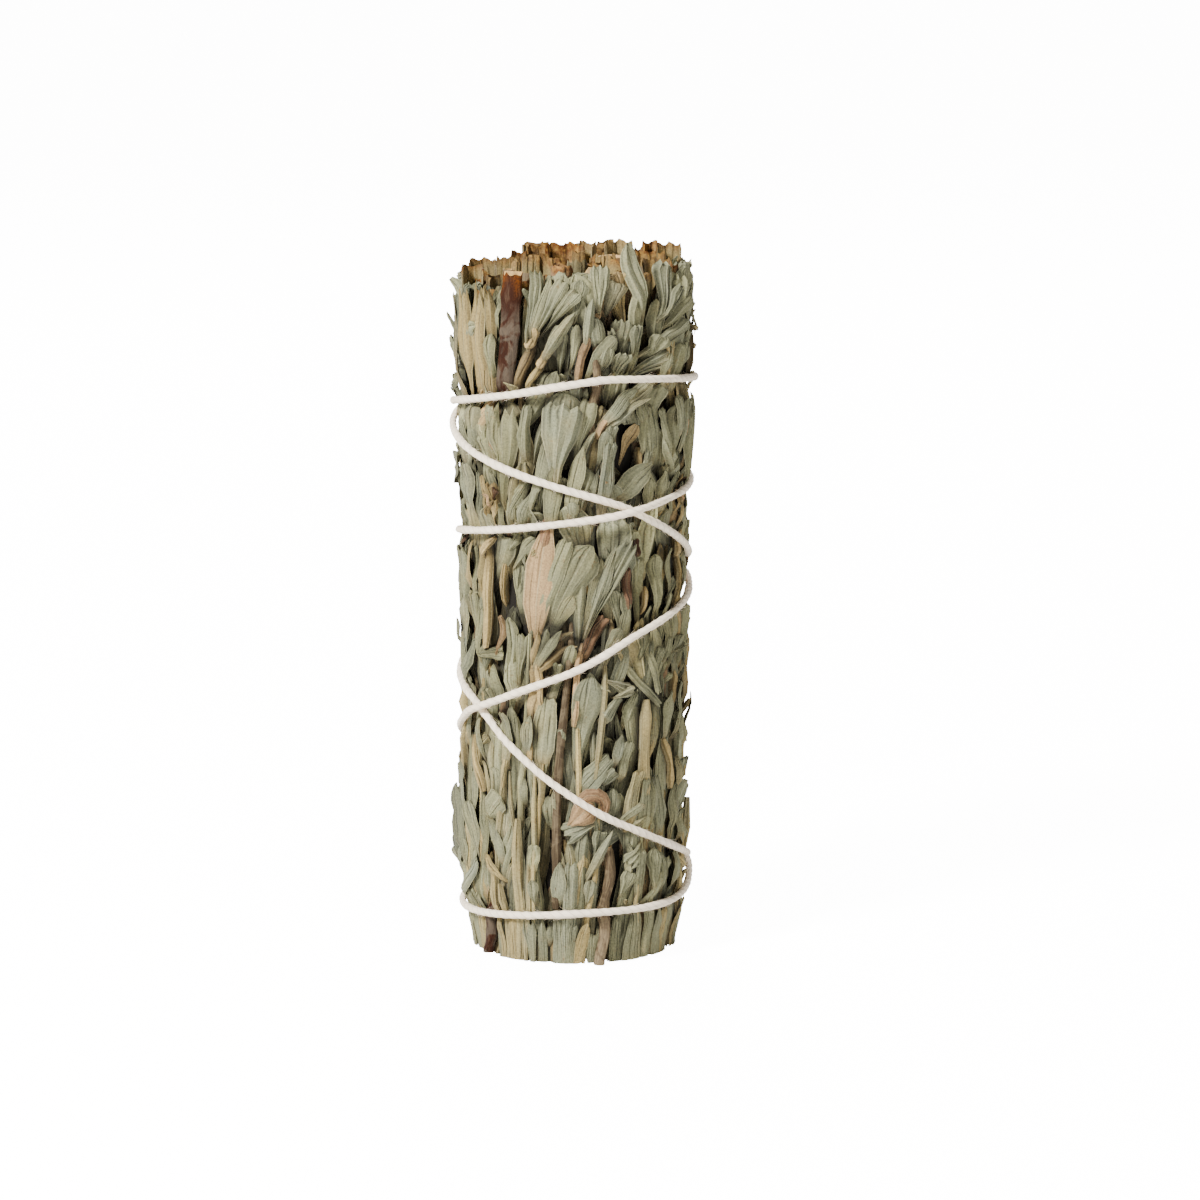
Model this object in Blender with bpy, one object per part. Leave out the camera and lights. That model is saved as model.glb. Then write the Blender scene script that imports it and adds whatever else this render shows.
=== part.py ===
"""A bundle of dried blue sage: leafy sprigs pressed into a short stick, bound with one cotton string.

Metres, +Z up. The bundle stands on its cut lower end, and the origin is the centre of that end.
Angles run round the bundle from the front, -Y, towards the right, +X.
"""

import math
import random

import bmesh
import bpy
from mathutils import Matrix, Vector

MM = 0.001

# Driving dimensions of the whole bundle
BUNDLE_HEIGHT = 100 * MM
BUNDLE_RADIUS = 16.4 * MM
TOP_FLARE = 1.1 * MM
FLARE_START = 55 * MM
FLARE_LENGTH = 40 * MM
FOOT_TAPER = 0.6 * MM
FOOT_LENGTH = 6 * MM
GAP = 0.3 * MM

# The cotton string: one length, wound down the bundle and up again, and knotted at the back
STRING_DIAMETER = 1.1 * MM
STRING_SUNK = 0.3 * MM
STRING_STEP = math.radians(14)
STRING_OVER = 1.6 * MM
STRING_OVER_REACH = 4.0 * MM
KNOT_PLACE = (190, 73.6)
KNOT_RADII = (1.5 * MM, 1.1 * MM, 1.7 * MM)
KNOT_OUT = 0.25 * MM
STRING_ROUTE = (
    (178, 66.5), (186, 70.5), (192, 74.2), (230, 77.0),
    (270, 78.5), (326, 81.2), (355, 82.9), (380, 83.7), (450, 81.9), (540, 79.3), (585, 77.4),
    (630, 74.8), (679, 71.2), (712, 68.6), (743, 65.8), (761, 63.3), (810, 56.7), (900, 48.0),
    (990, 39.5), (1023, 36.5), (1045, 31.7), (1072, 25.9), (1103, 20.5), (1170, 12.8), (1260, 8.6),
    (1350, 6.0), (1440, 7.7), (1530, 9.0), (1620, 20.0),
    (1710, 31.6), (1771, 39.2), (1803, 42.9), (1835, 47.5), (1890, 51.6), (1980, 56.0),
    (2070, 60.0), (2119, 62.0), (2152, 63.4), (2178, 64.5), (2194, 65.4), (2250, 67.3),
    (2310, 70.2), (2350, 73.0), (2362, 71.6), (2372, 67.8),
)

# Outer sprigs: each fills one slice of the bundle, between two of these edges
SLICE_EDGES_DEG = (-40, 0, 30, 60, 90, 120, 150, 180, 210, 240, 268, 294)
SLICE_TWIST = math.radians(28)
SLICE_WAVE = math.radians(2.2)
SLICE_WAVE_LENGTH = 80 * MM
STATION_COUNT = 6

# The pressed inner leaves of a sprig, which its outer leaves grow out of
CORE_DEPTH = 2.8 * MM
CORE_RIB = 0.25 * MM
CORE_INNER_RADIUS = 8.6 * MM
SPRIG_STEM_RADIUS = 1.0 * MM
SPRIG_STEM_PLACE = 9.9 * MM
SPRIG_STEM_RISE = 97.6 * MM

# Leaves
LEAF_THICKNESS = 0.65 * MM
LEAF_LENGTH = (15.0 * MM, 20.0 * MM)
LEAF_WIDTH = (4.8 * MM, 6.4 * MM)
LEAF_LEAN_DEG = 13
LEAF_ROOT_SUNK = 0.5 * MM
LEAF_COUNT = 9
LOBED_SHARE = 0.42
LEAF_LOWEST = 0.9 * MM
LEAF_HIGHEST = 86 * MM
LEAF_TOP = 99.2 * MM
STRING_BITE = 1.0 * MM
STRING_BITE_REACH = 4.5 * MM
LEAF_BELOW_SURFACE = 0.35 * MM

# A leaf's rows from root to tip, as (share of its length, share of its half width).
# A three-lobed leaf has a lobe on each side, outside the rows, after its third row.
SPOON_ROWS = ((0.0, 0.26), (0.38, 0.60), (0.74, 1.0), (0.93, 0.62), (1.0, 0.0))
LOBED_ROWS = ((0.0, 0.26), (0.36, 0.44), (0.72, 0.98), (0.86, 0.36), (1.0, 0.0))
LOBE_AFTER = 2
LOBE_TIP = (0.97, 0.80)

# Cut, curled leaf ends that stand out of the upper cut
CURL_HEIGHT = 6.5 * MM
CURL_RADIUS = 1.5 * MM
CURL_OUTWARD = 0.2 * MM
CURL_TURN = math.radians(215)
CURL_SEGMENTS = 5

# Inner pieces, packed round the one on the axis
INNER_SPACING = 5.5 * MM
INNER_RADIUS = 2.35 * MM
INNER_LOBE = 0.22 * MM
PITH_RADIUS = 0.8 * MM
PITH_DEPTH = 2.0 * MM

# Bare woody twigs that show on the outside: slice edge they lie on, lowest and highest point, radius
SURFACE_TWIGS = {
    "twig_upper_left": (0, 76 * MM, 97 * MM, 1.40 * MM),
    "twig_long_front": (1, 8 * MM, 52 * MM, 0.80 * MM),
    "twig_upper_front": (1, 74 * MM, 91 * MM, 0.75 * MM),
    "twig_lower_right": (2, 0 * MM, 17 * MM, 0.80 * MM),
    "twig_lower_left": (0, 0.4 * MM, 13 * MM, 0.85 * MM),
    "twig_back": (7, 30 * MM, 88 * MM, 0.90 * MM),
}
TWIG_SUNK = 0.45 * MM
TWIG_DEPTH = 0.6 * MM
TWIG_STEP = 4 * MM

# Colours of the dried plant and of the string
LEAF_COLOURS = ((0.36, 0.38, 0.27), (0.33, 0.36, 0.26), (0.40, 0.41, 0.31))
STEM_COLOUR = (0.30, 0.17, 0.10)
PITH_COLOUR = (0.46, 0.30, 0.15)
STRING_COLOUR = (0.82, 0.77, 0.72)


def smooth(x):
    x = min(1.0, max(0.0, x))
    return x * x * (3 - 2 * x)


def surface_radius(z):
    """Radius of the leafy outside at height z, wider at the top and drawn in at the foot."""
    flare = TOP_FLARE * smooth((z - FLARE_START) / FLARE_LENGTH)
    return BUNDLE_RADIUS + flare - FOOT_TAPER * math.exp(-max(z, 0.0) / FOOT_LENGTH)


def place(angle, radius, z):
    return Vector((radius * math.sin(angle), -radius * math.cos(angle), z))


def station_heights(low, high):
    return [low + (high - low) * i / (STATION_COUNT - 1) for i in range(STATION_COUNT)]


# Slices of the bundle


def true_edge(index, z):
    turns, number = divmod(index, len(SLICE_EDGES_DEG))
    start = math.radians(SLICE_EDGES_DEG[number] + 360 * turns)
    wave = SLICE_WAVE * math.sin(2 * math.pi * z / SLICE_WAVE_LENGTH + 1.9 * number)
    return start + SLICE_TWIST * (z / BUNDLE_HEIGHT - 0.5) + wave


def slice_edge(index, z):
    """The angle where two neighbouring sprigs meet, straight between the stations."""
    step = BUNDLE_HEIGHT / (STATION_COUNT - 1)
    k = min(STATION_COUNT - 2, max(0, math.floor(z / step)))
    share = z / step - k
    return true_edge(index, k * step) * (1 - share) + true_edge(index, (k + 1) * step) * share


def twig_room(index, z):
    """Half the width that leaves leave clear at a slice edge, more where a bare twig lies on it."""
    room = GAP * 0.65
    for edge, low, high, radius in SURFACE_TWIGS.values():
        if edge == index % len(SLICE_EDGES_DEG) and low - 3 * MM < z < high + 1.5 * MM:
            room = radius + GAP
    return room


# The cotton string


def between(points, x):
    """A smooth curve through (x, y) points, read at x."""
    k = max(i for i in range(len(points) - 1) if points[i][0] <= x or i == 0)
    (x0, y0), (x1, y1) = points[k], points[k + 1]

    def slope(i):
        a, b = points[max(0, i - 1)], points[min(len(points) - 1, i + 1)]
        return (b[1] - a[1]) / (b[0] - a[0])

    t = (x - x0) / (x1 - x0)
    h = x1 - x0
    rise = (2 * t**3 - 3 * t**2 + 1) * y0 + (3 * t**2 - 2 * t**3) * y1
    return rise + (t**3 - 2 * t**2 + t) * h * slope(k) + (t**3 - t**2) * h * slope(k + 1)


def string_line():
    """(angle, height) along the string, from one loose end to the other."""
    route = [(math.radians(a), z * MM) for a, z in STRING_ROUTE]
    first, last = route[0][0], route[-1][0]
    count = round((last - first) / STRING_STEP)
    angles = [first + (last - first) * i / count for i in range(count + 1)]
    return [(a, between(route, a)) for a in angles]


def apart(a, b):
    """Distance over the bundle's surface between two (angle, height) places."""
    turn = math.remainder(a[0] - b[0], 2 * math.pi)
    return math.hypot(turn * BUNDLE_RADIUS, a[1] - b[1])


def string_points():
    """The string's middle line. A later stretch passes over an earlier one in a long low hump."""
    line = string_line()
    half_turn = round(math.pi / STRING_STEP)
    points = []
    for i, here in enumerate(line):
        hump = 0.0
        for k in range(max(0, i - half_turn)):
            for share in (0.0, 0.25, 0.5, 0.75):
                a, b = line[k], line[k + 1]
                there = (a[0] + (b[0] - a[0]) * share, a[1] + (b[1] - a[1]) * share)
                hump = max(hump, math.exp(-((apart(here, there) / STRING_OVER_REACH) ** 2)))
        radius = surface_radius(here[1]) - STRING_SUNK + STRING_OVER * hump
        points.append(place(here[0], radius, here[1]))
    return points


STRING_LINE = string_line()


def leaf_limit(angle, z):
    """How far out leaves reach: up to the outside, and less where the string bites in."""
    near = min(apart((angle, z), there) for there in STRING_LINE)
    bite = STRING_BITE * math.exp(-((near / STRING_BITE_REACH) ** 2))
    return surface_radius(z) - LEAF_BELOW_SURFACE - bite


# Meshes


def new_object(name, verts, faces, material=None):
    mesh = bpy.data.meshes.new(name)
    mesh.from_pydata(verts, [], faces)
    bm = bmesh.new()
    bm.from_mesh(mesh)
    bmesh.ops.recalc_face_normals(bm, faces=bm.faces)
    bm.to_mesh(mesh)
    bm.free()
    obj = bpy.data.objects.new(name, mesh)
    bpy.context.scene.collection.objects.link(obj)
    if material:
        mesh.materials.append(material)
    return obj


def loft(rings):
    """Vertices and faces of a closed solid through rings of equal point counts."""
    n = len(rings[0])
    verts = [p for ring in rings for p in ring]
    faces = [list(range(n))[::-1], [len(verts) - n + i for i in range(n)]]
    for k in range(len(rings) - 1):
        for i in range(n):
            j = (i + 1) % n
            faces.append([k * n + i, k * n + j, (k + 1) * n + j, (k + 1) * n + i])
    return verts, faces


def material(name, colour, roughness):
    made = bpy.data.materials.new(name)
    made.use_nodes = True
    shader = made.node_tree.nodes["Principled BSDF"]
    shader.inputs["Base Color"].default_value = (*colour, 1)
    shader.inputs["Roughness"].default_value = roughness
    shader.inputs["Metallic"].default_value = 0.0
    return made


def islands(bm):
    """The separate bodies of a mesh, each as its list of faces."""
    left, found = set(bm.faces), []
    while left:
        body, edge = [], [left.pop()]
        while edge:
            face = edge.pop()
            body.append(face)
            for side in face.edges:
                for other in side.link_faces:
                    if other in left:
                        left.remove(other)
                        edge.append(other)
        found.append(body)
    return found


def signed_volume(faces):
    total = 0.0
    for face in faces:
        a, b, c = (loop.vert.co for loop in face.loops)
        total += a.dot(b.cross(c)) / 6
    return total


def fuse(body, repeats):
    """Joins the repeats to the body in one Boolean union, and drops sealed hollows and loose scraps."""
    group = bpy.data.collections.new(body.name + "_repeats")
    bpy.context.scene.collection.children.link(group)
    for obj in repeats:
        bpy.context.scene.collection.objects.unlink(obj)
        group.objects.link(obj)
    union = body.modifiers.new("leaves", "BOOLEAN")
    union.operation = "UNION"
    union.operand_type = "COLLECTION"
    union.collection = group
    union.solver = "EXACT"
    bpy.context.view_layer.update()
    graph = bpy.context.evaluated_depsgraph_get()
    joined = bpy.data.meshes.new_from_object(body.evaluated_get(graph))
    body.modifiers.clear()
    body.data = joined
    for obj in repeats:
        bpy.data.objects.remove(obj)
    bpy.data.collections.remove(group)
    bm = bmesh.new()
    bm.from_mesh(joined)
    bmesh.ops.triangulate(bm, faces=bm.faces)
    bodies = sorted(islands(bm), key=signed_volume)
    spare = [face for faces in bodies[:-1] for face in faces]
    bmesh.ops.delete(bm, geom=spare, context="FACES")
    bm.to_mesh(joined)
    bm.free()


# Leaves and curls


def leaf(lobed, slice_index, across, root_z, lean, length, width, reach):
    """One flat blade: it rises out of the sprig's core and lies along the outside of the bundle.

    across is its place in the slice, from 0 to 1, and reach is how near the outside it comes.
    """
    half = list(LOBED_ROWS if lobed else SPOON_ROWS)
    if lobed:
        half.insert(LOBE_AFTER + 1, LOBE_TIP)
    side = [(t, -s) for t, s in half] + [(t, s) for t, s in reversed(half) if s]
    low, high = (slice_edge(slice_index + k, root_z + length / 2) for k in (0, 1))
    middle = low + (high - low) * across
    places = []
    for t, s in side:
        along, wide = t * length, s * width / 2
        z = root_z + along * math.cos(lean) - wide * math.sin(lean)
        turn = (along - length / 2) * math.sin(lean) + wide * math.cos(lean)
        places.append((turn / BUNDLE_RADIUS, z, t))

    def room(z):
        low_room, high_room = (twig_room(slice_index + k, z) / BUNDLE_RADIUS for k in (0, 1))
        return slice_edge(slice_index, z) + low_room, slice_edge(slice_index + 1, z) - high_room

    low = max(room(z)[0] - turn for turn, z, t in places)
    high = min(room(z)[1] - turn for turn, z, t in places)
    squeeze = 1.0
    while low > high:
        squeeze *= 0.92
        low = max(room(z)[0] - turn * squeeze for turn, z, t in places)
        high = min(room(z)[1] - turn * squeeze for turn, z, t in places)
    middle = min(high, max(low, middle))
    outer, inner = [], []
    for turn, z, t in places:
        angle = middle + turn * squeeze
        root = surface_radius(z) - CORE_DEPTH - LEAF_ROOT_SUNK
        limit = leaf_limit(angle, z)
        out = math.sin(min(1.0, t * 1.5) * math.pi / 2)
        radius = min(limit, root + (limit - reach - root) * out)
        outer.append(place(angle, radius, z))
        inner.append(place(angle, radius - LEAF_THICKNESS, z))
    return blade(outer, inner, lobed)


def blade(outer, inner, lobed):
    """A closed blade between two like outlines, both split into the same triangles across the rib."""
    n = len(outer)
    rows = list(range(n // 2 + 1))
    faces = []
    if lobed:
        rows.remove(LOBE_AFTER + 1)
        a, b, c = LOBE_AFTER, LOBE_AFTER + 1, LOBE_AFTER + 2
        faces += [(a, b, c), (n - 1 - c, n - 1 - b, n - 1 - a)]
    for i, j in zip(rows, rows[1:]):
        faces.append((i, j, n - 1 - i))
        if j < n // 2:
            faces.append((j, n - 1 - j, n - 1 - i))
    back = [tuple(n + i for i in reversed(face)) for face in faces]
    rim = []
    for i in range(n):
        j = (i + 1) % n
        rim += [(i, n + i, n + j), (i, n + j, j)]
    return outer + inner, faces + back + rim


def curl(centre, root_z, turned, size, rise):
    """A leaf's cut, curled end: a short open gutter that stands out of the upper cut."""
    rings = []
    for z, grow in ((root_z, 0.9), (root_z + rise, 1.1)):
        ring = []
        for side, past in ((1, 0), (-1, LEAF_THICKNESS)):
            for i in range(CURL_SEGMENTS + 1)[::side]:
                around = turned + CURL_TURN * i / CURL_SEGMENTS
                far = size * grow - past
                ring.append(centre + Vector((far * math.cos(around), far * math.sin(around), z)))
        rings.append(ring)
    return loft(rings)


# Sprigs


def core_ring(index, z):
    """Cross-section of a sprig's pressed inner leaves, ribbed outside, with a channel for its stem."""
    low, high = slice_edge(index, z), slice_edge(index + 1, z)
    middle = (low + high) / 2
    half_gap = GAP / 2 + 0.03 * MM
    radius = surface_radius(z) - CORE_DEPTH
    ring = []
    for i in range(5):
        rib = CORE_RIB * (1 if i % 2 else -1)
        edge = half_gap / radius
        ring.append((low + edge + (high - low - 2 * edge) * i / 4, radius + rib))
    ring.append((high - half_gap / CORE_INNER_RADIUS, CORE_INNER_RADIUS))
    channel = SPRIG_STEM_RADIUS + GAP
    ring.append((middle + channel / CORE_INNER_RADIUS, CORE_INNER_RADIUS))
    roof = SPRIG_STEM_PLACE + channel * 0.97
    ring.append((middle + channel / SPRIG_STEM_PLACE, SPRIG_STEM_PLACE))
    ring.append((middle + channel * 0.62 / roof, roof))
    ring.append((middle - channel * 0.62 / roof, roof))
    ring.append((middle - channel / SPRIG_STEM_PLACE, SPRIG_STEM_PLACE))
    ring.append((middle - channel / CORE_INNER_RADIUS, CORE_INNER_RADIUS))
    ring.append((low + half_gap / CORE_INNER_RADIUS, CORE_INNER_RADIUS))
    return [place(angle, r, z) for angle, r in ring]


def sprig_stem(index, name, made_of):
    rings = []
    for z in (*station_heights(0.0, BUNDLE_HEIGHT)[:-1], SPRIG_STEM_RISE):
        middle = (slice_edge(index, z) + slice_edge(index + 1, z)) / 2
        rings.append(round_ring(place(middle, SPRIG_STEM_PLACE, z), SPRIG_STEM_RADIUS, 8))
    return new_object(name, *loft(rings), made_of)


def round_ring(centre, radius, sides):
    steps = [2 * math.pi * i / sides for i in range(sides)]
    return [centre + Vector((radius * math.cos(a), radius * math.sin(a), 0)) for a in steps]


def outer_sprig(index, name, made_of):
    """One sprig's leaves: a smaller ribbed core, with leaves that grow up and out of it."""
    draw = random.Random(100 + index)
    heights = station_heights(0.0, BUNDLE_HEIGHT)
    heights[0] = draw.uniform(0.0, 0.5) * MM
    heights[-1] = draw.uniform(94.0, 96.5) * MM
    body = new_object(name, *loft([core_ring(index, z) for z in heights]), made_of)
    repeats = []
    for k in range(LEAF_COUNT):
        share = max(0.0, k + draw.uniform(-0.2, 0.2)) / (LEAF_COUNT - 1)
        root_z = LEAF_LOWEST + share * (LEAF_HIGHEST - LEAF_LOWEST)
        length = min(draw.uniform(*LEAF_LENGTH), LEAF_TOP - root_z)
        across = (0.2, 0.8, 0.5)[k % 3] + draw.uniform(-0.06, 0.06)
        lean = math.radians(draw.uniform(-1, 1) * LEAF_LEAN_DEG)
        width, reach = draw.uniform(*LEAF_WIDTH), draw.uniform(0, 1.3) * MM
        shape = leaf(draw.random() < LOBED_SHARE, index, across, root_z, lean, length, width, reach)
        repeats.append(new_object(f"{name}_leaf_{k}", *shape))
    middle = (slice_edge(index, BUNDLE_HEIGHT) + slice_edge(index + 1, BUNDLE_HEIGHT)) / 2
    radius = surface_radius(BUNDLE_HEIGHT) - CORE_DEPTH + CURL_OUTWARD
    rise = CURL_HEIGHT - draw.uniform(0, 1.6) * MM
    turned = draw.uniform(0, 2 * math.pi)
    centre = place(middle, radius, 0)
    shape = curl(centre, heights[-1] - 2 * MM, turned, CURL_RADIUS, rise)
    repeats.append(new_object(f"{name}_curl", *shape))
    fuse(body, repeats)
    return body


def inner_place(number):
    """The middle of inner piece 0, on the axis, or of 1 to 6, packed round it."""
    if number == 0:
        return Vector((0, 0, 0))
    return place(math.radians(60 * number - 30), INNER_SPACING, 0)


def inner_sprig(number, name, made_of):
    """A sprig in the middle of the bundle: pressed leaves as long ribs, with curled ends on top."""
    draw = random.Random(200 + number)
    centre = inner_place(number)
    top = draw.uniform(93.0, 96.0) * MM
    rings = []
    for z in station_heights(0.0, top):
        ring = []
        for i in range(10):
            around = 2 * math.pi * i / 10 + 0.25 * math.sin(z / (18 * MM) + number)
            radius = INNER_RADIUS + INNER_LOBE * (1 if i % 2 else -1)
            ring.append(centre + Vector((radius * math.cos(around), radius * math.sin(around), z)))
        rings.append(ring)
    body = new_object(name, *loft(rings), made_of)
    turned = draw.uniform(0, 2 * math.pi)
    rise = CURL_HEIGHT - draw.uniform(0, 1) * MM
    shape = curl(centre, top - 2 * MM, turned, CURL_RADIUS * 1.1, rise)
    fuse(body, [new_object(f"{name}_curl", *shape)])
    return body


def woody_stem(number, name, made_of):
    """A thick bare stem in the middle of the bundle, with a soft pith hollow in its upper cut."""
    draw = random.Random(300 + number)
    centre = inner_place(number)
    top = draw.uniform(96.0, 99.0) * MM
    levels = ((0, 1.0), (0.33 * top, 0.94), (0.66 * top, 1.0), (top, 0.95))
    rings = [round_ring(centre + Vector((0, 0, z)), INNER_RADIUS * wide, 12) for z, wide in levels]
    for z in (top, top - PITH_DEPTH):
        rings.append(round_ring(centre + Vector((0, 0, z)), PITH_RADIUS, 12))
    return new_object(name, *loft(rings), made_of)


def surface_twig(name, edge, low, high, radius, made_of):
    """A bare twig pressed into the outside, along the line where two sprigs meet."""
    count = max(3, round((high - low) / TWIG_STEP) + 1)
    rings = []
    for i in range(count):
        z = low + (high - low) * i / (count - 1)
        angle, depth = slice_edge(edge, z), min(radius, TWIG_DEPTH)
        out = min(leaf_limit(angle, z), surface_radius(z) - TWIG_SUNK) - depth
        ring = []
        for k in range(8):
            around = 2 * math.pi * k / 8
            across = radius * math.cos(around) / out
            ring.append(place(angle + across, out + depth * math.sin(around), z))
        rings.append(ring)
    return new_object(name, *loft(rings), made_of)


def cotton_string(made_of):
    """The whole string as one round tube, with the knot that ties its two ends at the back."""
    points = string_points()
    curve = bpy.data.curves.new("cotton_string", "CURVE")
    curve.dimensions = "3D"
    curve.bevel_depth = STRING_DIAMETER / 2
    curve.bevel_resolution = 2
    curve.use_fill_caps = True
    spline = curve.splines.new("POLY")
    spline.points.add(len(points) - 1)
    for point, at in zip(spline.points, points):
        point.co = (*at, 1)
    guide = bpy.data.objects.new("string_guide", curve)
    bpy.context.scene.collection.objects.link(guide)
    bpy.context.view_layer.update()
    graph = bpy.context.evaluated_depsgraph_get()
    mesh = bpy.data.meshes.new_from_object(guide.evaluated_get(graph))
    bpy.data.objects.remove(guide)
    bm = bmesh.new()
    bm.from_mesh(mesh)
    bmesh.ops.remove_doubles(bm, verts=bm.verts, dist=0.002 * MM)
    bmesh.ops.recalc_face_normals(bm, faces=bm.faces)
    bm.to_mesh(mesh)
    bm.free()
    mesh.materials.clear()
    mesh.materials.append(made_of)
    string = bpy.data.objects.new("cotton_string", mesh)
    bpy.context.scene.collection.objects.link(string)
    angle, z = math.radians(KNOT_PLACE[0]), KNOT_PLACE[1] * MM
    centre = place(angle, surface_radius(z) + KNOT_OUT, z)
    rings = []
    for k in range(1, 7):
        down = math.pi * k / 7
        ring = []
        for i in range(10):
            around = 2 * math.pi * i / 10
            wide = math.sin(down)
            x, y = KNOT_RADII[0] * wide * math.cos(around), KNOT_RADII[1] * wide * math.sin(around)
            turned = Matrix.Rotation(angle, 3, "Z") @ Vector((x, y, -KNOT_RADII[2] * math.cos(down)))
            ring.append(centre + turned)
        rings.append(ring)
    fuse(string, [new_object("knot", *loft(rings))])
    return string


def main():
    for obj in list(bpy.data.objects):
        bpy.data.objects.remove(obj)
    leaves = [material(f"dry_leaf_{i + 1}", c, 0.85) for i, c in enumerate(LEAF_COLOURS)]
    bark = material("woody_stem", STEM_COLOUR, 0.75)
    pith = material("cut_stem", PITH_COLOUR, 0.8)
    cotton = material("cotton_string", STRING_COLOUR, 0.9)
    for index in range(len(SLICE_EDGES_DEG)):
        number = f"{index + 1:02d}"
        outer_sprig(index, f"outer_sprig_{number}_leaves", leaves[index % 3])
        sprig_stem(index, f"outer_sprig_{number}_stem", bark)
    for number in (1, 3, 4, 6):
        inner_sprig(number, f"inner_sprig_{number}", leaves[number % 3])
    for number in (0, 2, 5):
        woody_stem(number, f"woody_stem_{number}", pith)
    for name, (edge, low, high, radius) in SURFACE_TWIGS.items():
        surface_twig(name, edge, low, high, radius, bark)
    cotton_string(cotton)
    for obj in bpy.data.objects:
        if obj.name.endswith(("_stem", "string")) or obj.name.startswith(("woody", "twig")):
            obj.data.shade_smooth()
            obj.data.set_sharp_from_angle(angle=math.radians(40))


main()
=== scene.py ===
"""The blue sage bundle dressed for its picture: leaves, twigs, cut ends and cotton string.

Metres, +Z up. Angles run round the bundle from the front, -Y, towards the right, +X.
"""

import math
import random

import bmesh
import bpy
import numpy as np
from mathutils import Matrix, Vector


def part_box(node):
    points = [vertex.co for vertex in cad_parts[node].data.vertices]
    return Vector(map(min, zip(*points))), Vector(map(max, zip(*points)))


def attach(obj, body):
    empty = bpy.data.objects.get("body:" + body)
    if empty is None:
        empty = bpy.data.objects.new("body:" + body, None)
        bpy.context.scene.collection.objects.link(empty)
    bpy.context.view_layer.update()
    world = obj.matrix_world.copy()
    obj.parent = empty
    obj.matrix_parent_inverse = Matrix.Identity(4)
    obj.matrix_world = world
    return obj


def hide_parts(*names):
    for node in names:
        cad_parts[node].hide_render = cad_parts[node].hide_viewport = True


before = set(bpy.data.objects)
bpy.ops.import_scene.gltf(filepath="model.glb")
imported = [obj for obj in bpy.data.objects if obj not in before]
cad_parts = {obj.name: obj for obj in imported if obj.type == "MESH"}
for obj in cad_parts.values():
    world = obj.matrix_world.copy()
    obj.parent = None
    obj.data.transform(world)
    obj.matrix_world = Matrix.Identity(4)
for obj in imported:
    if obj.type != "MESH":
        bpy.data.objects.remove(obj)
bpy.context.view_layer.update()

# The floor, the light and the camera
#
# A pale tabletop under soft studio light. The camera stands in front of the bundle and
# looks slightly down on it, as the picture's frame of 1200 by 1200 shows it.

MM = 0.001
BUNDLE_HEIGHT = 100 * MM
PICTURE_SIZE, PICTURE_SCALE = 1200, 7.02
BUNDLE_IN_PICTURE = (574, 598)
CAMERA_DISTANCE, CAMERA_ABOVE = 750 * MM, math.radians(10.5)
SENSOR_WIDTH, NEAREST_SEEN = 36, 10 * MM
FLOOR_SIZE, FLOOR_BELOW = 30, 0.2 * MM
FLOOR_COLOUR, FLOOR_GLOW_COLOUR = (0.80, 0.80, 0.79, 1), (1.0, 1.0, 0.99, 1)
FLOOR_GLOW, FLOOR_GLOW_SEEN = 0.05, 14.0
ROOM_LIGHT = 0.17
LAMPS = (
    ("left_lamp", (-0.50, -0.50, 0.60), 0.16, 23.0),
    ("right_lamp", (0.65, -0.55, 0.25), 0.50, 3.0),
    ("back_lamp", (-0.10, 0.70, 0.60), 0.50, 8.0),
)


def set_inputs(node, values):
    """Gives a shader node the values of its inputs by name."""
    for label, value in values.items():
        node.inputs[label].default_value = value


middle = Vector((0, 0, BUNDLE_HEIGHT / 2))
out = Vector((0, -math.cos(CAMERA_ABOVE), math.sin(CAMERA_ABOVE)))
right = Vector((1, 0, 0))
aim = middle + right * ((PICTURE_SIZE / 2 - BUNDLE_IN_PICTURE[0]) / PICTURE_SCALE * MM)
aim -= out.cross(right) * ((PICTURE_SIZE / 2 - BUNDLE_IN_PICTURE[1]) / PICTURE_SCALE * MM)
bpy.ops.object.camera_add(location=middle + out * CAMERA_DISTANCE)
camera = bpy.context.active_object
camera.name = "camera"
camera.rotation_euler = (camera.location - aim).to_track_quat("Z", "Y").to_euler()
camera.data.sensor_width = SENSOR_WIDTH
camera.data.lens = PICTURE_SCALE * (CAMERA_DISTANCE / MM) * SENSOR_WIDTH / PICTURE_SIZE
camera.data.clip_start = NEAREST_SEEN
bpy.context.scene.camera = camera
bpy.context.view_layer.update()

bpy.ops.object.select_all(action="DESELECT")
bpy.ops.mesh.primitive_plane_add(size=FLOOR_SIZE, location=(0, 0, -FLOOR_BELOW))
floor = bpy.context.active_object
floor.name = "floor"
pale = bpy.data.materials.new("pale_tabletop")
pale.use_nodes = True
nodes, links = pale.node_tree.nodes, pale.node_tree.links
shader = nodes["Principled BSDF"]
set_inputs(shader, {"Base Color": FLOOR_COLOUR, "Roughness": 0.9, "Emission Color": FLOOR_GLOW_COLOUR})
seen = nodes.new("ShaderNodeLightPath")
glow = nodes.new("ShaderNodeMath")
glow.operation = "MULTIPLY_ADD"
glow.inputs[1].default_value, glow.inputs[2].default_value = FLOOR_GLOW_SEEN, FLOOR_GLOW
links.new(seen.outputs["Is Camera Ray"], glow.inputs[0])
links.new(glow.outputs[0], shader.inputs["Emission Strength"])
floor.data.materials.append(pale)

for name, place, size, power in LAMPS:
    bpy.ops.object.light_add(type="AREA", location=place)
    lamp = bpy.context.active_object
    lamp.name = name
    lamp.data.size = size
    lamp.data.energy = power
    lamp.rotation_euler = (lamp.location - middle).to_track_quat("Z", "Y").to_euler()
world = bpy.data.worlds.new("studio")
bpy.context.scene.world = world
world.use_nodes = True
set_inputs(world.node_tree.nodes["Background"], {"Color": (1.0, 1.0, 1.0, 1), "Strength": ROOM_LIGHT})

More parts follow.
